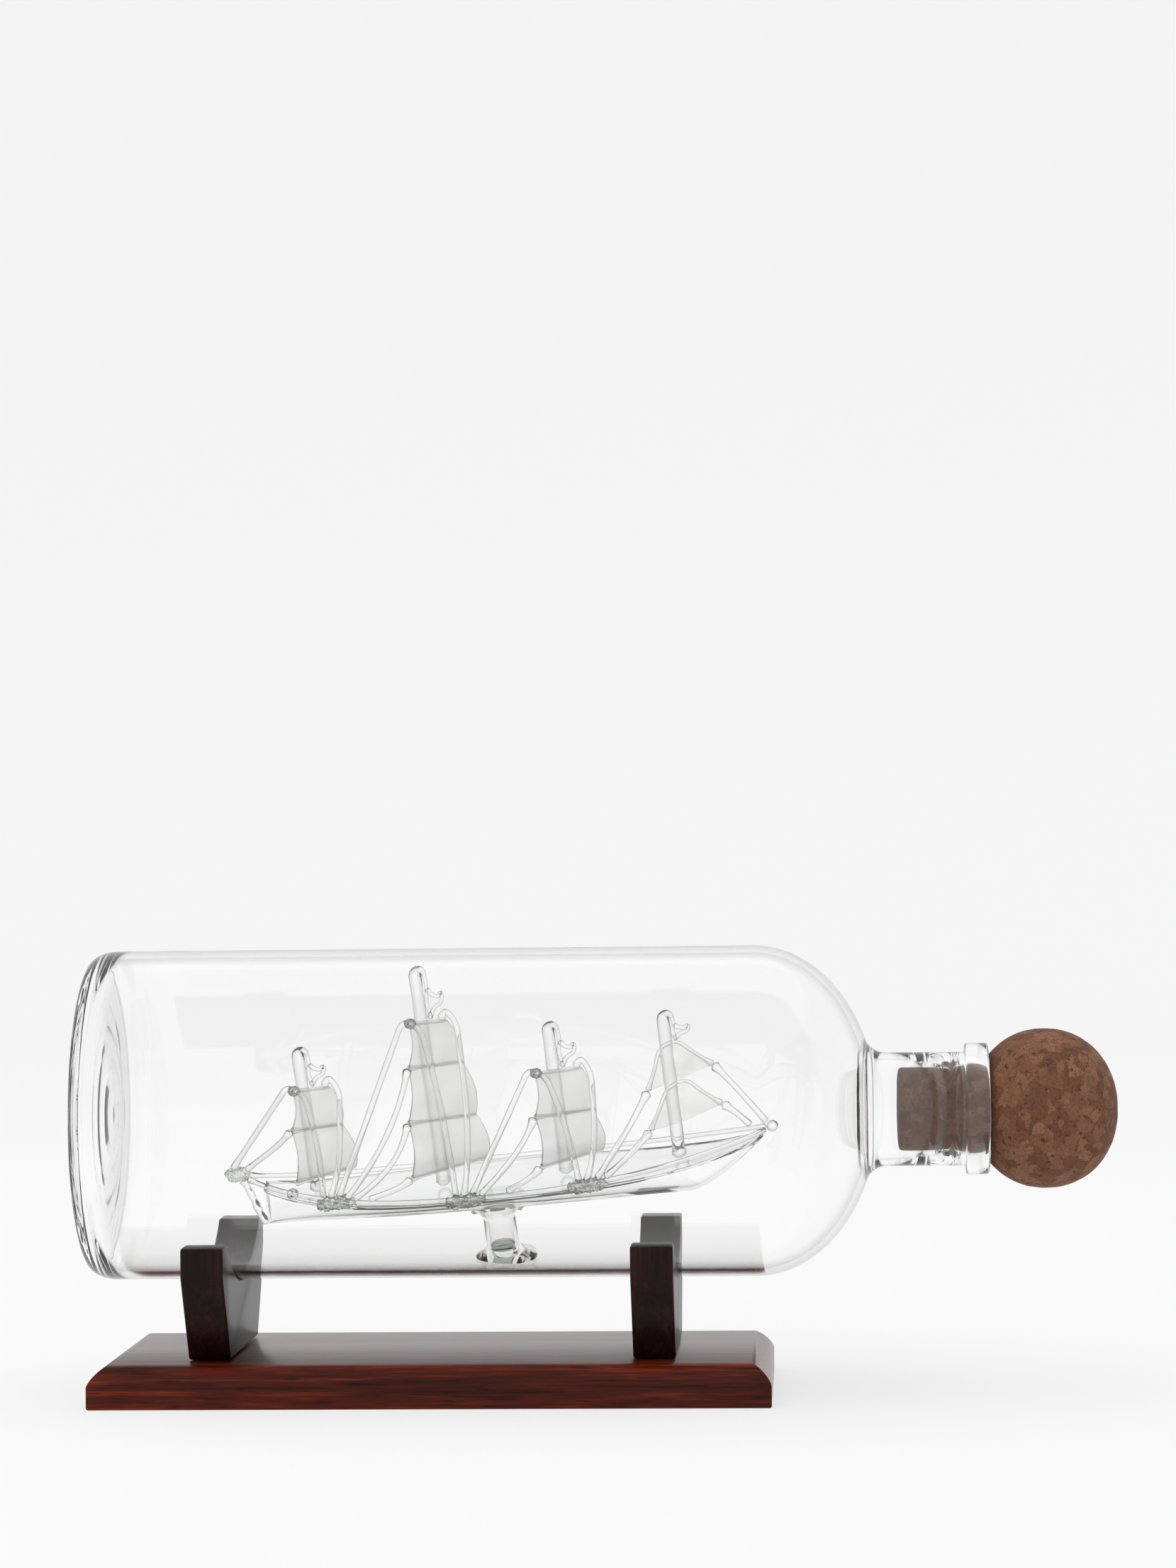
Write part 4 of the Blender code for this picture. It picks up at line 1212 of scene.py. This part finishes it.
    def make_stays(self, mast: Mast, after: Sequence[Vector], ahead: Sequence[Vector]) -> None:
        """The rods that hold one mast's square sails.

        Args:
            mast: The mast.
            after: Where the rods behind it land.
            ahead: Where the rods before it land.
        """
        ship = self.ship
        forward = Vector((math.sin(ship.brace), -math.cos(ship.brace), 0))
        clear = self.sail / 2 + self.rod
        _, near, far = mast.yards[0]
        corner = self.yard_end(mast, 0, -near * MM - clear - self.rod, up=1.2 * MM)
        over = self.yard_end(mast, 0, -near * MM + 2.2 * MM, out=clear + 0.6 * MM, up=-0.8 * MM)
        up = bezier((after[0], after[0].lerp(corner, 0.4), after[0].lerp(corner, 0.8), corner), 20)
        span = ahead[0] - over
        down = bezier(
            (over, over + span / 3 + forward * self.stay_bow * 0.7,
             over + span * 2 / 3 + forward * self.stay_bow / 2, ahead[0]), 22,
        )
        rise, turn = Vector((0, 0, 1.0 * MM)), Vector((-1.2 * MM, 0, 2 * MM))
        knee = bezier((up[-3], corner + rise, over + turn, down[1]), 12)
        line = up[:-3] + knee + down[2:]
        rod = GlassRod(f"glass_stay_{mast.name}_bent", line, self.rod, 1.3, 1.3)
        self.draw(rod, f"stay_{mast.name}_bent")
        blob = lump(
            f"knee_blob_{mast.name}", corner.lerp(over, 0.45), (1.7 * MM, 1.5 * MM, 1.5 * MM),
            ship.matrix, 0.9 * MM, 1.2,
        )
        self.dress_glass(blob)
        lean = self.stay_bow + self.far_lean * (corner.z - ahead[1].z)
        top = self.yard_end(mast, 0, far * MM - 2.4 * MM, up=0.3 * MM)
        crest = self.yard_end(mast, 0, far * MM - 0.8 * MM, out=1.5 * MM, up=2.6 * MM)
        side = self.yard_end(mast, 0, far * MM + 0.6 * MM, out=0.55 * lean, up=-1.5 * MM)
        span = ahead[1] - side
        second = side + span / 3 + forward * lean * 0.45
        third = side + span * 2 / 3 + forward * lean * 0.8
        rest = bezier((side, second, third, ahead[1]), 22)
        line = smooth_line([top, crest, side, rest[4]], 6)[:-1] + rest[4:]
        rod = GlassRod(f"glass_stay_{mast.name}_far", line, self.rod, 1.5, 1.3)
        self.draw(rod, f"stay_{mast.name}_far")
        droop = Vector((1.2 * MM, 0, -1.2 * MM)) * (len(after) - 2)
        for yard in range(1, len(after)):
            near = mast.yards[yard][1] * MM
            start = self.yard_end(mast, yard, -near - 0.4 * MM)
            sag = Vector() if yard == len(after) - 1 else droop
            span = after[yard] - start
            ease = Vector((-0.6 * MM, 0, -2.2 * MM))
            second, third = start + span / 4 + sag + ease, start + span * 2 / 3 + sag
            line = bezier((start, second, third, after[yard]), 24)
            rod = GlassRod(f"glass_stay_{mast.name}_{yard + 1}", line, self.rod * 0.95, 1.75, 1.3)
            self.draw(rod, f"stay_{mast.name}_{yard + 1}")

    def make_fore_stays(self) -> None:
        """Four rods from the fore sails' corners: two to the bow and two to the port rail."""
        bow = self.hull.bow_place()
        ends = {
            "upper": bow + Vector((-1.5 * MM, 0, 1.4 * MM)),
            "lower": bow + Vector((-6.2 * MM, 0, 0.9 * MM)),
        }
        for jib, spot in zip(self.jibs, self.landings["fore"][0]):
            for side, number, end in (("left", 3, self.landing(*spot)), ("right", 1, ends[jib.name])):
                along, height = jib.corners[number]
                start = self.jib_point(along * MM, self.offset, self.ship.up_mast(self.fore, height))
                span = end - start
                to_bow = side == "right"
                ease = Vector((0, 0, 0.8 * MM) if to_bow else (0.5 * MM, 0, -0.8 * MM))
                second, third = start + span / 3 + ease, start + span * 2 / 3 + ease / 2
                line = bezier((start, second, third, end), 22)
                rod = GlassRod(f"glass_stay_fore_{jib.name}_{side}", line, self.rod, 1.8, 1.3)
                self.draw(rod, f"stay_fore_{jib.name}_{side}")

    def build(self) -> None:
        """Makes the whole rig."""
        knot = self.hull.knot_place()
        on_knot = (knot + Vector((-0.8, -1.0, 2.2)) * MM, knot + Vector((3.2, -1.6, 1.6)) * MM)
        for mast in self.masts:
            self.make_mast(mast, self.ship.up_mast(mast, mast.yards[0][0]) + 0.3 * MM)
            self.make_sails(mast)
            behind, before = self.landings[mast.name]
            after = [self.landing(*spot) for spot in behind] or on_knot
            self.make_stays(mast, after, [self.landing(*spot) for spot in before])
        self.make_mast(self.fore, self.ship.up_mast(self.fore, 0.795) + 0.3 * MM)
        for jib in self.jibs:
            self.make_jib(jib)
        self.make_fore_stays()


# ---- Bottle and stopper ----


@dataclass
class Bottle:
    """The blown bottle: base with its push-up, long body, round shoulder, neck and collar."""

    glass: bpy.types.Material
    radius: float = 47.5 * MM
    wall: float = 2 * MM
    body: float = 191.6 * MM
    sweep: float = 35.5 * MM
    corner: tuple[float, float] = (3.5 * MM, 7 * MM)
    push_radius: float = 34 * MM
    push_depth: float = 3 * MM
    base: float = 3.2 * MM
    neck: float = 16.3 * MM
    neck_wall: float = 1.8 * MM
    flare: float = 2.9 * MM
    neck_length: float = 27.8 * MM
    collar: float = 18.85 * MM
    collar_length: float = 6.8 * MM
    mouth: float = 13.5 * MM
    mouth_depth: float = 11.5 * MM
    ring_depth: float = 0.35 * MM
    ring_count: float = 3.5

    def shoulder(
        self, radius: float, sweep: float, end: float, count: int = 30
    ) -> list[tuple[float, float]]:
        """Points on the shoulder's ellipse from the body to a radius at the neck."""
        last = math.acos(end / radius)
        steps = [last * i / count for i in range(count + 1)]
        return [(radius * math.cos(a), self.body + sweep * math.sin(a)) for a in steps]

    def base_line(self, level: float) -> list[tuple[float, float]]:
        """The pushed-up base from the axis outwards, with the rings its mould left."""
        line = []
        count = 28
        for i in range(count + 1):
            radius = self.push_radius * i / count
            share = i / count
            rise = self.push_depth * (1 - share**2) ** 2
            rings = self.ring_depth * math.sin(2 * math.pi * self.ring_count * share)
            line.append((radius, level + rise + rings * share * (1 - share**4)))
        return line

    def corner_line(self, radius: float, level: float) -> list[tuple[float, float]]:
        """The rounded edge of the base, from the flat up to the side."""
        across, along = self.corner
        angles = [math.pi / 2 * i / 9 for i in range(10)]
        middle = (radius - across, level + along)
        return [(middle[0] + across * math.sin(a), middle[1] - along * math.cos(a)) for a in angles]

    def section(self) -> list[tuple[float, float]]:
        """Up the inside from the base to the mouth, over the lip, and down the outside."""
        root = self.body + self.sweep * math.sqrt(1 - ((self.neck + self.flare) / self.radius) ** 2)
        start = root + self.neck_length
        end = start + self.collar_length
        bore = self.neck - self.neck_wall
        length = 2 * self.flare
        fine = [i / 8 for i in range(1, 9)]
        inside = self.base_line(self.base) + self.corner_line(self.radius - self.wall, self.base)
        inside += self.shoulder(self.radius - self.wall, self.sweep - self.wall, bore + self.flare)
        inside += [(bore + self.flare * (1 - t) ** 2.5, root + length * t) for t in fine]
        depth = self.mouth_depth
        inside += [(bore, end - depth), (self.mouth + 0.3 * MM, end - 0.9 * depth)]
        inside += [(self.mouth, end - 0.8 * depth), (self.mouth, end - 0.6 * MM)]
        lip = 0.8 * MM
        outside = [(self.mouth + 0.6 * MM, end), (self.collar - lip, end)]
        outside += [(self.collar - 0.2 * MM, end - 0.25 * MM)]
        outside += [(self.collar, end - lip), (self.collar, start + lip)]
        outside += [(self.collar - 0.25 * MM, start + 0.2 * MM), (self.collar - lip, start)]
        outside += [(self.neck + 0.4 * MM, start), (self.neck, start - 0.4 * MM)]
        outside += [
            (self.neck + self.flare * (1 - t) ** 2.5, root + length * t) for t in reversed(fine)
        ]
        outside += reversed(self.shoulder(self.radius, self.sweep, self.neck + self.flare))
        outside += reversed(self.corner_line(self.radius, 0.0))
        outside += reversed(self.base_line(0.0))
        return inside + outside

    def build(self) -> None:
        """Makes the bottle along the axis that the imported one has."""
        low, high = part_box("bottle")
        turn = Matrix.Rotation(math.pi / 2, 4, "Y")
        place = Matrix.Translation((low.x, 0, (low.z + high.z) / 2)) @ turn
        obj = turned("blown_bottle", self.section(), place, 192)
        dress(obj, self.glass, Body.BOTTLE, ["bottle"], SHEET_ANGLE)


@dataclass
class Stopper:
    """The turned cork: a full ball on a short tapered plug."""

    cork: bpy.types.Material
    radius: float = 22.9 * MM
    half_length: float = 20.9 * MM
    flat_depth: float = 15.8 * MM
    fullness: float = 2.12
    plug: float = 25.5 * MM
    plug_radius: float = 13.2 * MM
    taper: float = 1.15 * MM

    def section(self) -> list[tuple[float, float]]:
        """The ball from its end to its flat face, then the plug to its tip and back to the axis."""
        count = 46
        last = math.acos(-self.flat_depth / self.half_length)
        points = []
        for i in range(count + 1):
            height = self.half_length * math.cos(last * i / count)
            share = abs(height / self.half_length) ** self.fullness
            points.append((self.radius * max(0.0, 1 - share) ** (1 / self.fullness), height))
        flat, tip = -self.flat_depth, self.plug_radius - self.taper
        points += [(self.plug_radius + 2 * MM, flat), (self.plug_radius, flat)]
        points += [
            (self.plug_radius - self.taper * i / 12, flat - (self.plug - 1 * MM) * i / 12)
            for i in range(1, 13)
        ]
        points += [(tip - 0.3 * MM, flat - self.plug + 0.3 * MM), (tip - 1 * MM, flat - self.plug)]
        return points + [(0.0, flat - self.plug)]

    def build(self) -> None:
        """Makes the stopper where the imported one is."""
        low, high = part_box("cork_stopper")
        turn = Matrix.Rotation(math.pi / 2, 4, "Y")
        place = Matrix.Translation((high.x - self.half_length, 0, (low.z + high.z) / 2)) @ turn
        obj = turned("turned_cork", self.section(), place, 160)
        modify(
            obj, "DISPLACE", texture=cloud_texture("cork_chips", 2.6), strength=0.22 * MM,
            mid_level=0.9, texture_coords="LOCAL",
        )
        dress(obj, self.cork, Body.STOPPER, ["cork_stopper"])


# ---- Stand ----


@dataclass
class Stand:
    """The plank, its two cradles and their screws."""

    plank_wood: bpy.types.Material
    cradle_wood: bpy.types.Material
    steel: bpy.types.Material
    rounding: float = 5.6 * MM
    arris: float = 0.6 * MM
    saddle: float = 47.8 * MM
    foot_width: float = 56 * MM
    slope_height: float = 24 * MM
    wrap: float = 13.5 * MM

    def bevel_edges(
        self, obj: bpy.types.Object, height: float, width: float, steps: int, profile: float
    ) -> None:
        """Bevels the edges that lie at one height.

        Args:
            obj: The board.
            height: The edges' height.
            width: The bevel's width.
            steps: How many faces it has.
            profile: How full it is: 0.25 is flat and 0.5 round.
        """
        select_only(obj)
        bpy.ops.object.mode_set(mode="EDIT")
        bpy.ops.mesh.select_all(action="DESELECT")
        bpy.ops.object.mode_set(mode="OBJECT")
        verts = obj.data.vertices
        for edge in obj.data.edges:
            edge.select = all(abs(verts[v].co.z - height) < GAP for v in edge.vertices)
        bpy.ops.object.mode_set(mode="EDIT")
        bpy.ops.mesh.select_mode(type="EDGE")
        bpy.ops.mesh.bevel(offset=width, segments=steps, profile=profile, affect="EDGES")
        bpy.ops.object.mode_set(mode="OBJECT")

    def make_plank(self) -> None:
        """The plank, with a quarter round along its upper edges and countersunk holes below."""
        low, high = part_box("stand_base")
        size, middle = high - low, (high + low) / 2
        plank = started("mahogany_plank", bpy.ops.mesh.primitive_cube_add, size=1.0)
        settle(plank, Matrix.Translation(middle) @ Matrix.Diagonal((*size, 1)))
        self.bevel_edges(plank, high.z, self.rounding, 10, 0.36)
        self.bevel_edges(plank, low.z, self.arris, 3, 0.5)
        for number in range(1, 5):
            start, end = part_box(f"cradle_screw_{number}")
            spot = (start + end) / 2
            head = (end.x - start.x) / 2 + GAP
            hole = started(
                "hole_cutter", bpy.ops.mesh.primitive_cone_add, vertices=48, radius1=head,
                radius2=head / 2, depth=3.6 * MM, location=(spot.x, spot.y, 1.4 * MM),
            )
            modify(plank, "BOOLEAN", operation="DIFFERENCE", object=hole, solver="EXACT")
            bpy.data.objects.remove(hole)
        dress(plank, self.plank_wood, Body.STAND, ["stand_base"], BOARD_ANGLE)

    def cradle_outline(self, low: Vector, high: Vector, axis_z: float) -> list[tuple[float, float]]:
        """The cradle's outline as (across, up) points, from one side of its foot to the other."""
        tip_z = high.z
        wrap = math.acos((axis_z - tip_z) / self.saddle)
        side = high.y
        tip_y = self.saddle * math.sin(wrap)
        half = [(self.foot_width / 2, low.z), (side, low.z + self.slope_height)]
        half += [(side, tip_z - 1.2 * MM), (side - 0.35 * MM, tip_z - 0.35 * MM)]
        half += [(side - 1.2 * MM, tip_z)]
        half += [(tip_y + 0.8 * MM, tip_z)]
        count = 28
        for i in range(count):
            angle = wrap * (1 - i / count)
            half.append((self.saddle * math.sin(angle), axis_z - self.saddle * math.cos(angle)))
        return half + [(0.0, axis_z - self.saddle)] + [(-y, z) for y, z in reversed(half)]

    def make_cradle(self, node: str) -> None:
        """One cradle board, sawn to its outline, with softened edges."""
        low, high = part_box(node)
        bottle_low, bottle_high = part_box("bottle")
        outline = self.cradle_outline(low, high, (bottle_low.z + bottle_high.z) / 2)
        obj = started(
            "mahogany_" + node, bpy.ops.mesh.primitive_circle_add, vertices=len(outline), radius=0.01,
            fill_type="NGON",
        )
        for vert, (across, up) in zip(obj.data.vertices, outline):
            vert.co = (low.x, across, up)
        edit(
            obj,
            lambda: bpy.ops.mesh.extrude_region_move(
                TRANSFORM_OT_translate={"value": (high.x - low.x, 0, 0)}
            ),
            lambda: bpy.ops.mesh.normals_make_consistent(inside=False),
        )
        modify(
            obj, "BEVEL", width=0.7 * MM, segments=4, limit_method="ANGLE",
            angle_limit=math.radians(50),
        )
        dress(obj, self.cradle_wood, Body.STAND, [node], BOARD_ANGLE)

    def build(self) -> None:
        """Makes the stand's visible pieces and dresses its screws."""
        self.make_plank()
        self.make_cradle("cradle_left")
        self.make_cradle("cradle_right")
        for number in range(1, 5):
            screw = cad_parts[f"cradle_screw_{number}"]
            screw.data.materials.clear()
            screw.data.materials.append(self.steel)


# ---- Studio ----


@dataclass(frozen=True)
class Lamp:
    """A square soft lamp that is aimed at the object."""

    name: str
    place: tuple[float, float, float]
    size: float
    power: float


@dataclass
class Studio:
    """A round pale studio: its floor sweeps up to a wall, under a white sky and soft lamps."""

    paper: str = "#8c8c8c"
    glow: float = 0.645
    front_glow: float = 0.78
    front: tuple[float, float] = (-1.0, -2.2)
    radius: float = 2.6
    bend: float = 0.7
    height: float = 2.4
    sky: float = 1.12
    lens: float = 91.42
    camera_place: tuple[float, float, float] = (0.1081, -1.15, 0.1578)
    camera_turn: tuple[float, float, float] = (90.83, 0.647, 3.173)
    lamps: tuple[Lamp, ...] = (
        Lamp("overhead", (-0.35, 0.05, 1.0), 1.1, 2.4),
        Lamp("front_left", (-0.8, -0.9, 1.1), 0.8, 1.4),
    )
    aim: tuple[float, float, float] = (0.05, 0, 0.06)

    def paper_material(self) -> bpy.types.Material:
        """Matte paper lit from behind, a little brighter on the camera's side."""
        made, shader = new_material(
            "studio_paper",
            {"Base Color": linear(self.paper), "Roughness": 1.0, "Specular IOR Level": 0.0,
             "Emission Color": linear("#ffffff")},
        )
        tree = made.node_tree
        place = add_node(tree, "TexCoord").outputs["Object"]
        depth = add_node(tree, "SeparateXYZ", links={"Vector": place}).outputs["Y"]
        near, far = self.front
        glow = add_node(
            tree, "MapRange",
            {"From Min": far, "From Max": near, "To Min": self.front_glow, "To Max": self.glow},
            {"Value": depth},
        )
        tree.links.new(glow.outputs["Result"], shader.inputs["Emission Strength"])
        return made

    def make_bowl(self) -> None:
        """The floor and the wall in one sweep, as a thin turned shell."""
        thick = 10 * MM
        inner = self.radius - self.bend
        section = [(0.0, 0.0)]
        for i in range(17):
            angle = math.pi / 2 * i / 16
            section.append((inner + self.bend * math.sin(angle), self.bend * (1 - math.cos(angle))))
        section += [(self.radius, self.height), (self.radius + thick, self.height)]
        section += [(self.radius + thick, -thick), (0.0, -thick)]
        bowl = turned("paper_sweep", section, Matrix.Identity(4), 96)
        select_only(bowl)
        bpy.ops.object.shade_smooth_by_angle(angle=math.radians(40))
        bowl.data.materials.append(self.paper_material())

    def make_light(self) -> None:
        """A white sky, a broad lamp over the object and a smaller one in front to its left."""
        world = bpy.data.worlds.new("studio_air")
        bpy.context.scene.world = world
        world.use_nodes = True
        air = world.node_tree.nodes["Background"]
        air.inputs["Color"].default_value = (1, 1, 1, 1)
        air.inputs["Strength"].default_value = self.sky
        for lamp in self.lamps:
            bpy.ops.object.select_all(action="DESELECT")
            bpy.ops.object.light_add(type="AREA", location=lamp.place)
            light = bpy.context.object
            light.name = lamp.name
            light.data.size = lamp.size
            light.data.energy = lamp.power
            light.visible_glossy = light.visible_transmission = False
            aim = Vector(self.aim) - Vector(lamp.place)
            light.rotation_euler = aim.to_track_quat("-Z", "Y").to_euler()

    def make_camera(self) -> None:
        """The camera, low in front of the bottle and a little to its cork's side."""
        turn = [math.radians(a) for a in self.camera_turn]
        bpy.ops.object.camera_add(location=self.camera_place, rotation=turn)
        camera = bpy.context.object
        camera.data.lens = self.lens
        camera.data.clip_start, camera.data.clip_end = 0.01, 30
        scene = bpy.context.scene
        scene.camera = camera
        scene.view_settings.view_transform = "Standard"
        scene.cycles.max_bounces = 24
        scene.cycles.transmission_bounces = 24
        scene.cycles.glossy_bounces = 6

    def build(self) -> None:
        """Sets up the studio."""
        self.make_bowl()
        self.make_light()
        self.make_camera()


def main() -> None:
    """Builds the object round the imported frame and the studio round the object."""
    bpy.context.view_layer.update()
    bpy.ops.object.select_all(action="DESELECT")
    # The edge colours given to the clear glasses below are painted shade at their glancing edges.
    clear = FlamePolishedGlass("drawn_ship_glass", edge="#0c0f0e", edge_shade_start=0.0).material()
    sealed = FlamePolishedGlass("pedestal_seal_glass", clear="#9fb0a0", edge="#5f7062").material()
    fused = FlamePolishedGlass(
        "fused_joint_glass", clear="#f2f4f2", edge="#202522", edge_shade_start=0.0, ripple_mm=1.2,
        ripple=0.5,
    ).material()
    thin = FlamePolishedGlass("blown_hull_glass", edge="#a4aca6", edge_shade_start=0.45).material()
    blown = FlamePolishedGlass(
        "blown_bottle_glass", edge="#4a524a", edge_shade_start=0.68, ripple=0.012
    ).material()
    frosted = FrostedGlass("frosted_sail_glass").material()
    faint = FrostedGlass(
        "faintly_frosted_glass", dense="#f0f0ee", roughness=0.14, clearness=0.94, cloud_mm=7.0
    ).material()
    plank = LacqueredMahogany(
        "mahogany_long_grain", Grain.ALONG_X, stain="#240a04", body="#4a170a", streak="#7a2b11"
    ).material()
    cradle = LacqueredMahogany(
        "mahogany_upright", Grain.ALONG_Z, stain="#110706", body="#1d0d0b", streak="#2e1410",
        lacquer=0.2,
    ).material()
    Stand(plank, cradle, ZincPlatedSteel().material()).build()
    Bottle(blown).build()
    Stopper(AgglomeratedCork("agglomerated_cork").material()).build()
    hull = Hull(ShipFrame(), clear, thin, fused, sealed)
    hull.build()
    Rig(hull, clear, frosted, faint).build()
    Studio().build()
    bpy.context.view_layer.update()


if __name__ == "__main__":
    main()
